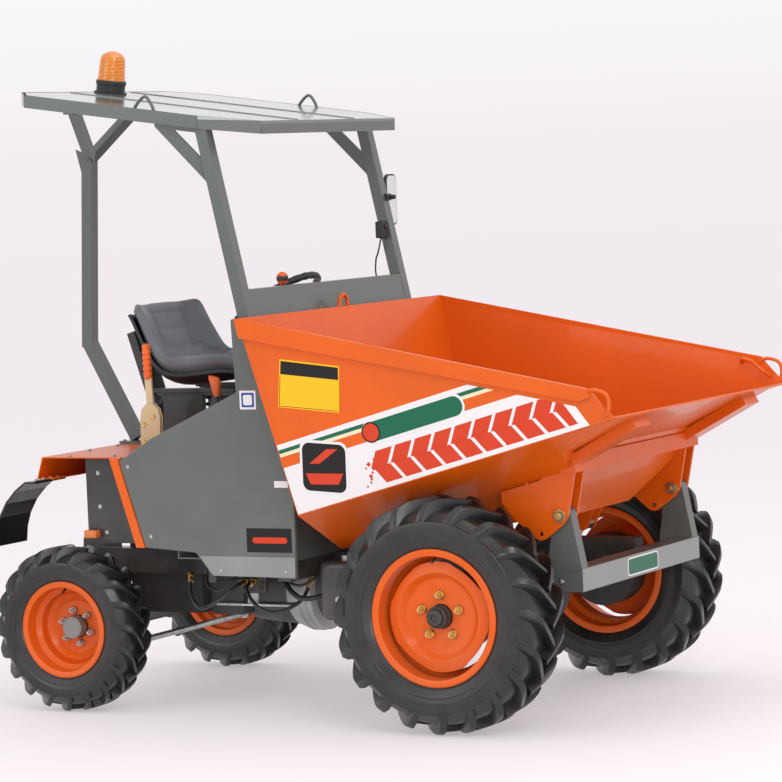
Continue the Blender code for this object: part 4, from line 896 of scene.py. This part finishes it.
# A bent arm with a flat orange paddle, beside the seat
path = [(-0.265, 0.47, 0.852), (-0.262, 0.476, 0.94), (-0.25, 0.486, 1.02), (-0.235, 0.494, 1.062)]
arm = Piece("gear_lever_arm").tube(path, 0.0065, 12)
arm.turned([(0, 0), (0, 0.021), (0.006, 0.019), (0.026, 0.01), (0.03, 0)], (-0.265, 0.47, 0.8505), (0, 0, 1), 24)
arm.done(BLACK_PLASTIC, "gear_lever", whole=True)
foot, tip = Vector((-0.237, 0.494, 1.052)), Vector((-0.226, 0.508, 1.122))
sections = []
for share, wide, deep in ((0, 0.01, 0.008), (0.15, 0.014, 0.01), (0.5, 0.019, 0.011), (0.85, 0.024, 0.012),
                          (1, 0.02, 0.008)):
    sections.append([foot.lerp(tip, share) + Vector((deep * cos(a), wide * sin(a), 0.25 * wide * sin(a)))
                     for a in angles(20)])
Piece("gear_lever_paddle").loft(sections).done(ORANGE_PLASTIC, "gear_lever", bevel=0.002)

# ---------------------------------------------------------------- canopy

ROOF_SLOPE = 0.146


def on_roof(x, y, height=0.0):
    slope = atan2(ROOF_SLOPE, 1)
    return Vector((x, y - height * sin(slope), 1.984 + (y - 0.133) * ROOF_SLOPE + height * cos(slope)))


# Roof ribs, edge strip, lifting eyes, rear gusset and the bolts of the posts
ribs = Piece("roof_ribs")
for x in (-0.195, 0.195):
    ribs.bar(on_roof(x, 0.15, 0.0006), on_roof(x, 1.06, 0.0006), 0.011, 0.005)
# The ribs take the roof's lighter grey, with its painted reflection.
ribs.done(ROOF_GREY_PAINTED_REFLECTION, "canopy_roof", bevel=0.0018)
edge = Piece("roof_edge_strip")
ring = [(-0.465, 0.133), (0.465, 0.133), (0.585, 0.308), (0.585, 0.988), (0.465, 1.078), (-0.465, 1.078),
        (-0.585, 0.988), (-0.585, 0.308)]
for (ax, ay), (bx, by) in zip(ring, ring[1:] + ring[:1]):
    normal = Vector((by - ay, ax - bx, 0)).normalized() * 0.0008
    edge.bar(on_roof(ax, ay, -0.021) + normal, on_roof(bx, by, -0.021) + normal, 0.002, 0.0435, up=normal)
edge.done(POST_GREY, "canopy_roof", bevel=0.0008)
eyes = Piece("roof_lifting_eyes")
loop = ((0.572, -0.002), (0.56, 0.018), (0.541, 0.038), (0.527, 0.038), (0.508, 0.018), (0.496, -0.002))
for x in (-0.552, 0.552):
    eyes.tube([on_roof(x, y, height) for y, height in loop], 0.0055, 12)
eyes.done(POST_GREY, "canopy_roof")
gusset = Piece("rear_post_gusset")
gusset.slab([(0.003, 1.139, 1.905), (0.003, 1.18, 1.922), (0.003, 1.146, 1.79)], 0.006)
gusset.done(POST_GREY, "canopy_post_rear", bevel=0.0008)
bolts = Piece("canopy_bolts")
for side, word in SIDES:
    bolts.bolts([(side * 0.5725, 0.046, z) for z in (0.6, 0.69)], (side, 0, 0), 0.006, 0.004)
bolts.bolts([(x, y, 0.883) for x in (-0.036, 0.036) for y in (0.932, 1.008)], (0, 0, 1), 0.006, 0.004)
bolts.done(ZINC, "canopy_post_rear")

foot = on_roof(0, 1.022)
up = (on_roof(0, 1.022, 1.0) - foot).normalized()
socket = [(0.0, 0.0), (0.0, 0.058), (0.006, 0.058), (0.008, 0.051), (0.03, 0.0505), (0.032, 0.0535),
          (0.044, 0.0535), (0.047, 0.05), (0.047, 0.0)]
Piece("beacon_socket").turned(socket, foot, up, 48).done(BLACK_PLASTIC, "beacon_base", whole=True)
dome = [(0.047, 0.0), (0.047, 0.049), (0.052, 0.0492)]
for i in range(9):
    z = 0.054 + i * 0.0075
    dome += [(z, 0.0486 - i * 0.0004), (z + 0.0036, 0.0476 - i * 0.0004)]
dome += [(0.126, 0.043), (0.137, 0.036), (0.145, 0.024), (0.149, 0.012), (0.1505, 0.0)]
Piece("beacon_dome").turned(dome, foot, up).done(AMBER, "beacon_lens", whole=True)

# A thin framed mirror with its stay and clamp on the left front post, and the switch box below
middle = (0.6255, 1.695)
housing = Piece("mirror_housing")
housing.slab([(x, 0.246, z) for x, z in rounded(middle, (0.038, 0.092), 0.022)], -0.011)
housing.tube([(0.612, 0.242, 1.7), (0.596, 0.236, 1.705), (0.572, 0.232, 1.705)], 0.006, 12)
housing.rod((0.548, 0.232, 1.705), (0.585, 0.232, 1.705), 0.013, 20)
housing.rod((0.567, 0.222, 1.705), (0.567, 0.2, 1.705), 0.009, 6)
housing.done(BLACK_PLASTIC, "mirror", bevel=0.002, whole=True)
face = Piece("mirror_face")
face.slab([(x, 0.2462, z) for x, z in rounded(middle, (0.033, 0.086), 0.019)], 0.0012)
face.done(MIRROR_GLASS, "mirror")
box = Piece("lamp_switch_box").box((0.494, 0.216, 1.56), (0.527, 0.248, 1.62))
box.rod((0.51, 0.218, 1.602), (0.51, 0.208, 1.602), 0.008, 16)
box.done(BLACK_PLASTIC, "canopy_post_front_left", bevel=0.004, segments=3)

for name, half, radius, proud, material in (
        ("bumper_plate_border", (0.122, 0.03), 0.016, 0.0003, WHITE_FILM),
        ("bumper_plate", (0.116, 0.025), 0.012, 0.0007, GREEN_FILM)):
    plate = Piece(name)
    plate.slab([(x, -0.977 - proud, z) for x, z in rounded((0.0, 0.4745), half, radius)], FILM_THICKNESS)
    plate.done(material, "front_bumper")
# A lighter grey sheet on the bumper's lit front face: painted light on the one grey bumper, whose arms and sides
# carry the darker grey as painted shade.
face = Piece("bumper_face_painted_light").box((-0.4635, -0.9771, 0.4385), (0.4635, -0.9768, 0.5105))
face.done(LIGHT_GREY, "front_bumper")
bolts = Piece("bumper_bolts")
for side, word in SIDES:
    bolts.bolts([(side * 0.4625, y, 0.47) for y in (-0.9, -0.865)], (side, 0, 0), 0.0075, 0.006)
bolts.done(ZINC, "front_bumper")

# ---------------------------------------------------------------- seat

SEAT_LINE = [
    (0.412, 1.128), (0.42, 1.152), (0.445, 1.166), (0.5, 1.166), (0.56, 1.158), (0.62, 1.15), (0.68, 1.147),
    (0.722, 1.156), (0.75, 1.178), (0.772, 1.212), (0.79, 1.252), (0.806, 1.292), (0.82, 1.332), (0.832, 1.362),
    (0.846, 1.378), (0.864, 1.38),
]
SEAT_ROWS = [tuple(p.yz) for p in smooth_path([(0, *p) for p in SEAT_LINE], 6)]


def seat_row(index):
    """Place and upward normal along the seat's middle line."""
    before, after = SEAT_ROWS[max(index - 1, 0)], SEAT_ROWS[min(index + 1, len(SEAT_ROWS) - 1)]
    ahead = Vector((0, *after)) - Vector((0, *before))
    return Vector((0, *SEAT_ROWS[index])), Vector((0, -ahead.z, ahead.y)).normalized()


def seat_surface(index, u):
    """A point of the seat's face at u from -1 to 1 across, with raised side bolsters."""
    here, normal = seat_row(index)
    t = index / (len(SEAT_ROWS) - 1)
    back = min(1.0, max(0.0, (t - 0.5) / 0.2))
    width = 0.205 + 0.012 * sin(pi * min(1.0, t * 1.4)) - 0.03 * max(0.0, t - 0.86) / 0.14
    bolster = (0.02 + 0.026 * sin(pi * min(1.0, t * 1.15))) * max(0.0, (abs(u) - 0.52) / 0.48) ** 1.6
    shoulder = max(0.0, t - 0.8) / 0.2
    drop = shoulder ** 2 * abs(u) ** 3.0 * 0.05
    place = here + normal * (bolster - 0.01 * back * (1 - u * u)) + Vector((u * width, 0, 0))
    return place - Vector((0, 0.2, 1)) * drop


def panel_groove(u, t):
    """How near a point is to the stitched channels round the panels, 1 on the channel."""
    edge = 0.46
    lines = [0.2, 0.315, 0.43, 0.615, 0.715, 0.815]
    near = 0.0
    if abs(u) < edge + 0.02:
        near = max(1 - abs(t - level) / 0.0105 for level in lines)
    if lines[0] - 0.01 < t < lines[2] + 0.01 or lines[3] - 0.01 < t < lines[-1] + 0.01:
        near = max(near, 1 - abs(abs(u) - edge) / 0.034)
    return max(0.0, near)


def driver_seat():
    """One closed moulded cushion and back; its padding is swelled between the stitched channels."""
    rows, columns = len(SEAT_ROWS), 61
    made = bmesh.new()
    front, back, marks = [], [], []
    for index in range(rows):
        t = index / (rows - 1)
        normal = seat_row(index)[1]
        front.append([])
        back.append([])
        for column in range(columns):
            u = -1 + 2 * column / (columns - 1)
            place = seat_surface(index, u)
            thick = (0.046 - 0.012 * t) * (1 - 0.45 * abs(u) ** 4) + 0.012
            vertex = made.verts.new(place)
            marks.append((vertex, panel_groove(u, t), abs(u), t))
            front[-1].append(vertex)
            under = place - normal * thick
            back[-1].append(made.verts.new((under.x * (1 - 0.03 * abs(u)), under.y, under.z)))
    for i in range(rows - 1):
        for k in range(columns - 1):
            made.faces.new((front[i][k], front[i][k + 1], front[i + 1][k + 1], front[i + 1][k]))
            made.faces.new((back[i][k + 1], back[i][k], back[i + 1][k], back[i + 1][k + 1]))
        for k in (0, -1):
            made.faces.new((front[i][k], front[i + 1][k], back[i + 1][k], back[i][k]))
    for i in (0, -1):
        for k in range(columns - 1):
            made.faces.new((front[i][k + 1], front[i][k], back[i][k], back[i][k + 1]))
    made.verts.index_update()
    held = {vertex.index: (groove, across, t) for vertex, groove, across, t in marks}
    bmesh.ops.recalc_face_normals(made, faces=made.faces)
    mesh = bpy.data.meshes.new("driver_seat")
    made.to_mesh(mesh)
    made.free()
    seat = bpy.data.objects.new("driver_seat", mesh)
    bpy.context.scene.collection.objects.link(seat)
    swell(seat, held)
    for vertex in mesh.vertices:
        if vertex.index in held:
            vertex.co -= vertex.normal * 0.0065 * held[vertex.index][0]
    # The cover takes the lightened vinyl: its own dark grey plus a painted highlight.
    mesh.materials.append(SEAT_VINYL_PAINTED_HIGHLIGHT)
    mesh.shade_smooth()
    smooth = seat.modifiers.new("smooth", "SUBSURF")
    smooth.levels = smooth.render_levels = 1
    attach(seat, "chassis")
    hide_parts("seat")


def swell(seat, held):
    """Air pressure lifts the cover a little where no channel or edge holds it."""
    group = seat.vertex_groups.new(name="held")
    for vertex in seat.data.vertices:
        groove, across, t = held.get(vertex.index, (1.0, 1.0, 0.0))
        hold = 1.0 if vertex.index not in held or groove > 0.5 or across > 0.97 or t < 0.03 or t > 0.97 else 0.0
        group.add([vertex.index], hold, "REPLACE")
    start = [vertex.co.copy() for vertex in seat.data.vertices]
    cloth = seat.modifiers.new("cover", "CLOTH")
    settings = cloth.settings
    settings.quality = 4
    settings.mass = 0.3
    settings.tension_stiffness = settings.compression_stiffness = 25
    settings.bending_stiffness = 4
    settings.use_pressure = True
    settings.uniform_pressure_force = 4
    settings.vertex_group_mass = "held"
    settings.effector_weights.gravity = 0
    cloth.collision_settings.use_collision = False
    cloth.point_cache.frame_start, cloth.point_cache.frame_end = 1, 12
    scene = bpy.context.scene
    for step in range(1, 13):
        scene.frame_set(step)
    moved = seat.evaluated_get(bpy.context.evaluated_depsgraph_get()).data
    places = [vertex.co.copy() for vertex in moved.vertices]
    seat.modifiers.remove(cloth)
    scene.frame_set(1)
    for vertex, old, new in zip(seat.data.vertices, start, places):
        shift = new - old
        if shift.length > 0.007:
            shift = shift.normalized() * 0.007
        vertex.co = old + shift


# Shell behind the back, runners, spring and hinges
sections = []
for index in range(4, len(SEAT_ROWS) - 3, 3):
    normal = seat_row(index)[1]
    across = [-0.93 + 1.86 * column / 24 for column in range(25)]
    sections.append([seat_surface(index, u) - normal * 0.05 for u in across]
                    + [seat_surface(index, u) - normal * 0.062 for u in reversed(across)])
Piece("seat_back_shell").loft(sections).done(BLACK_PLASTIC, "seat_base", bevel=0.001, segments=1)
runners = Piece("seat_runners")
for x in (-0.14, 0.14):
    runners.box((x - 0.018, 0.47, 1.062), (x + 0.018, 0.8, 1.076))
    runners.box((x - 0.01, 0.455, 1.05), (x + 0.01, 0.79, 1.063))
    runners.bar((x, 0.56, 1.055), (x, 0.62, 0.905), 0.03, 0.006)
    runners.bar((x, 0.76, 1.055), (x, 0.7, 0.905), 0.03, 0.006)
runners.tube([(-0.15, 0.47, 1.06), (-0.15, 0.43, 1.058), (-0.13, 0.418, 1.06), (-0.06, 0.418, 1.06)], 0.005)
runners.done(BLACK, "seat_base", bevel=0.0012)
coil = [(0.03 * cos(tau * i / 16), 0.66 + 0.03 * sin(tau * i / 16), 0.905 + 0.145 * i / 96) for i in range(97)]
Piece("seat_spring").tube(coil, 0.0045, 8, smooth_steps=1).done(BLACK, "seat_base")
hinge = Piece("seat_cover_hinge")
for x in (-0.223, 0.223):
    hinge.rod((x - 0.009, 0.768, 1.128), (x + 0.009, 0.768, 1.128), 0.014, 20)
hinge.done(BLACK_PLASTIC, "seat_base", bevel=0.002)

driver_seat()

# ---------------------------------------------------------------- steering wheel, dash, tipping lever

knobs = Piece("dash_knobs")
for x in (-0.28, -0.22, 0.26):
    knobs.rod((x, 0.208, 1.385), (x, 0.228, 1.385), 0.013, 20, 0.011)
knobs.done(BLACK_PLASTIC, "front_bulkhead", bevel=0.0015)
folds = [(0.0, 0.0), (0.0, 0.03)]
for i in range(4):
    folds += [(0.006 + i * 0.01, 0.028 - i * 0.004), (0.01 + i * 0.01, 0.022 - i * 0.004)]
folds += [(0.05, 0.009), (0.05, 0.0)]
low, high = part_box("tip_lever")
foot = ((low[0] + high[0]) / 2, (low[1] + high[1]) / 2, low[2] + 0.002)
Piece("tip_lever_gaiter").turned(folds, foot, (0, 0.2, 1), 28).done(BLACK_PLASTIC, "tip_lever")
knob = bmesh.new()
bmesh.ops.create_uvsphere(knob, u_segments=28, v_segments=18, radius=0.0205)
place = Matrix.Translation((-0.15, 0.264, 1.45)) @ Matrix.Diagonal((1, 1, 1.1, 1))
Piece("tip_lever_knob").absorb(knob, place).done(ORANGE_PLASTIC, "tip_lever")

# A thick ribbed rim on three spokes with a domed boss
turn = Matrix.Translation((0.05, 0.405, 1.365)) @ Matrix.Rotation(-radians(32), 4, "X")
sections = []
for angle in angles(96):
    thick = 0.0125 + 0.0009 * sin(angle * 24)
    sections.append([((0.162 + thick * cos(s)) * cos(angle), (0.162 + thick * cos(s)) * sin(angle),
                      thick * sin(s)) for s in angles(14)])
piece = Piece("steering_wheel_rim").loft(sections, looped=True, matrix=turn)
for angle in angles(3, pi / 2):
    spoke = ((0.024, -0.02), (0.095, -0.012), (0.158, 0.0))
    piece.tube([turn @ Vector((r * cos(angle), r * sin(angle), height)) for r, height in spoke], 0.008, 12)
boss = [(-0.034, 0.0), (-0.034, 0.024), (-0.01, 0.034), (0.0, 0.034), (0.008, 0.03), (0.013, 0.018), (0.014, 0.0)]
piece.turned(boss, turn.translation, turn.to_3x3() @ Vector((0, 0, 1)), 36)
piece.done(BLACK_PLASTIC, "steering_wheel", "steering_wheel", smooth_angle=50, whole=True)

# ---------------------------------------------------------------- under the deck: drive, tank, hoses

middle = Vector((0, 0, 0.376))
cover = [(0.206, 0.12), (0.212, 0.1515), (0.274, 0.1515), (0.3, 0.142), (0.33, 0.128), (0.332, 0.1),
         (0.206, 0.1)]
Piece("bell_housing_cover").turned(cover, middle, (0, 1, 0)).done(CAST_GREY, "gearbox", bevel=0.0015)
ribs = Piece("bell_housing_ribs")
for y in (0.2365, 0.262):
    ribs.turned([(y - 0.004, 0.1405), (y + 0.004, 0.1405), (y + 0.004, 0.1545), (y - 0.004, 0.1545)],
                middle, (0, 1, 0))
ribs.done(CAST_GREY, "gearbox", bevel=0.001)
places = [middle + Vector((0.139 * cos(a), 0.2325, 0.139 * sin(a))) for a in angles(14)]
Piece("bell_housing_bolts").bolts(places, (0, -1, 0), 0.0065, 0.006).done(ZINC, "gearbox")

# Oil tank, valve block and bracket seen below the right side panel
tank = Piece("oil_tank").box((-0.505, -0.15, 0.335), (-0.325, -0.03, 0.525))
tank.done(BLACK, "chassis_frame", bevel=0.022, segments=5)
cap = Piece("oil_tank_fittings").rod((-0.505, -0.11, 0.4), (-0.519, -0.11, 0.4), 0.013, 6)
cap.rod((-0.42, -0.09, 0.524), (-0.42, -0.09, 0.538), 0.022, 24).done(ZINC, "chassis_frame")
block = Piece("steering_valve_block").box((-0.3, 0.295, 0.385), (-0.2805, 0.405, 0.47))
block.box((-0.3035, 0.307, 0.397), (-0.299, 0.393, 0.458))
for y in (0.318, 0.382):
    for z in (0.405, 0.45):
        block.rod((-0.303, y, z), (-0.3075, y, z), 0.0055, 6)
block.done(BLACK, "chassis_frame", bevel=0.0016)
bracket = Piece("valve_block_bracket").box((-0.296, 0.33, 0.35), (-0.284, 0.372, 0.39))
bracket.box((-0.345, 0.18, 0.347), (-0.275, 0.47, 0.355))
bracket.done(ZINC, "chassis_frame", bevel=0.0012)
stay = Piece("panel_stay").bar((-0.56, 0.345, 0.545), (-0.56, 0.345, 0.455), 0.004, 0.03)
stay.bar((-0.56, 0.345, 0.457), (-0.3, 0.35, 0.44), 0.03, 0.005, up=(0, 1, 0))
stay.done(BLACK, "chassis_frame", bevel=0.001)

HOSE_RUNS = {
    "steering_hose_a": (0.0065, [(-0.29, 0.12, 0.44), (-0.33, 0.14, 0.37), (-0.39, 0.2, 0.335), (-0.405, 0.27, 0.355),
                                 (-0.37, 0.33, 0.41), (-0.305, 0.335, 0.43)]),
    "steering_hose_b": (0.0065, [(-0.29, 0.6, 0.445), (-0.34, 0.57, 0.38), (-0.4, 0.5, 0.345), (-0.415, 0.43, 0.365),
                                 (-0.37, 0.375, 0.415), (-0.305, 0.365, 0.43)]),
    "tank_hose": (0.009, [(-0.29, 0.26, 0.47), (-0.325, 0.205, 0.43), (-0.37, 0.15, 0.4), (-0.4, 0.09, 0.385),
                           (-0.37, 0.03, 0.395), (-0.305, 0.0, 0.44)]),
    "wiring_loom": (0.005, [(-0.3, 0.04, 0.5), (-0.35, 0.07, 0.45), (-0.37, 0.12, 0.425), (-0.35, 0.18, 0.44),
                             (-0.3, 0.23, 0.49)]),
    "fuel_hose": (0.0045, [(-0.29, 0.52, 0.47), (-0.35, 0.5, 0.42), (-0.37, 0.44, 0.4), (-0.35, 0.39, 0.44),
                           (-0.3, 0.37, 0.5)]),
    "seat_cable": (0.0035, [(-0.12, 0.575, 0.885), (-0.17, 0.5, 0.93), (-0.19, 0.42, 0.99), (-0.15, 0.34, 1.06),
                            (-0.1, 0.25, 1.12), (-0.09, 0.185, 1.16)]),
    "lamp_cable": (0.003, [(0.51, 0.234, 1.56), (0.506, 0.246, 1.51), (0.516, 0.262, 1.48), (0.52, 0.262, 1.42),
                            (0.524, 0.212, 1.375)]),
}


def hose(name, points, radius, slot):
    """A hose or cable along a smooth path; its length is computed but not used."""
    path = smooth_path(points, 8)
    curve = bpy.data.curves.new(name, "CURVE")
    curve.dimensions = "3D"
    curve.bevel_depth = radius
    curve.bevel_resolution = 4
    curve.use_fill_caps = True
    spline = curve.splines.new("POLY")
    spline.points.add(len(path) - 1)
    for point, place in zip(spline.points, path):
        point.co = (*place, 1)
    obj = place_in_scene(name, curve, HOSE, "chassis")
    length = sum((b - a).length for a, b in zip(path, path[1:]))


ferrules = Piece("hose_end_fittings")
for name, (radius, points) in HOSE_RUNS.items():
    hose(name, points, radius, "canopy_post_front_left" if name == "lamp_cable" else "chassis_frame")
    if name.endswith(("hose_a", "hose_b", "tank_hose")):
        for end, inner in ((points[0], points[1]), (points[-1], points[-2])):
            ferrules.rods(end, Vector(inner) - Vector(end), (
                (-0.004, 0.012, radius * 1.75, 6, None), (0.01, 0.034, radius * 1.35, 18, None)))
ferrules.done(YELLOW_ZINC, "chassis_frame", bevel=0.0006, segments=1)

for side, word in SIDES:
    near, far = sorted((side * 0.512, side * 0.548))
    lamp = Piece(f"marker_lamp_{word}_lens").box((near, 0.812, 0.594), (far, 0.862, 0.622))
    lamp.done(LAMP_ORANGE, f"marker_lamp_{word}", bevel=0.007, segments=4, whole=True)
    foot = Piece(f"marker_lamp_{word}_foot")
    foot.rod((side * 0.5115, 0.837, 0.608), (side * 0.518, 0.837, 0.608), 0.017, 24)
    foot.done(BLACK_PLASTIC, f"marker_lamp_{word}")

barrel, pin = Vector((0.118, -0.15, 0.36)), Vector((0.118, -0.72, 0.592))
along = (pin - barrel).normalized()
gland = Piece("tip_cylinder_gland")
for reach, wide in ((0.489, 0.0375), (0.462, 0.035)):
    gland.turned([(0, 0.0205), (0, wide), (0.01, wide), (0.01, 0.0205)], barrel + along * reach, along, 36)
gland.done(BLACK, "tip_cylinder_barrel", "tip_barrel", bevel=0.0012)

# ---------------------------------------------------------------- studio


def area_light(name, place, target, size, power, colour=(1, 1, 1)):
    data = bpy.data.lights.new(name, "AREA")
    data.shape = "RECTANGLE"
    data.size, data.size_y = size
    data.energy, data.color = power, colour
    light = bpy.data.objects.new(name, data)
    light.location = place
    light.rotation_euler = (Vector(target) - Vector(place)).to_track_quat("-Z", "Y").to_euler()
    bpy.context.scene.collection.objects.link(light)


world = bpy.data.worlds.new("studio_world")
sky = Nodes(world)
background = sky.tree.nodes["Background"]
background.inputs[1].default_value = 1.02
up = sky.node("ShaderNodeSeparateXYZ", None, {0: sky.node("ShaderNodeTexCoord")[0]})[2]
stops = ((0.0, (0.868, 0.825, 0.848)), (0.055, (0.945, 0.93, 0.955)))
sky.feed(background.inputs[0], sky.node("ShaderNodeValToRGB", {"stops": stops}, {0: up})[0])
bpy.context.scene.world = world
area_light("key", (-5.5, -5.5, 6.5), (0, 0, 0.8), (3.5, 3.5), 210, (1.0, 0.98, 0.95))
area_light("fill", (-7.0, 4.0, 3.5), (0, 0, 0.8), (4.0, 3.0), 70, (0.95, 0.97, 1.0))
area_light("low_front", (-8.0, -5.5, 0.9), (0, -0.2, 0.5), (4.0, 1.6), 130, (1.0, 0.99, 0.98))
area_light("top", (0.5, -1.0, 7.0), (0, 0, 0), (5.0, 5.0), 120)
bpy.ops.mesh.primitive_circle_add(vertices=96, radius=70, fill_type="NGON", location=(0, 0, -0.0005))
floor = bpy.context.object
floor.name = "studio_floor"
finish = Finish("studio_floor_paint", (0.47, 0.445, 0.455), 0.75, specular_ior_level=0.2,
                emission_color=(0.98, 0.93, 0.96, 1), emission_strength=0.4)
finish.to("Roughness", (0.72 + finish.noise(2.0, 3.0) * 0.1).clamped())
floor.data.materials.append(finish.material)
bpy.context.scene.view_settings.view_transform = "Standard"
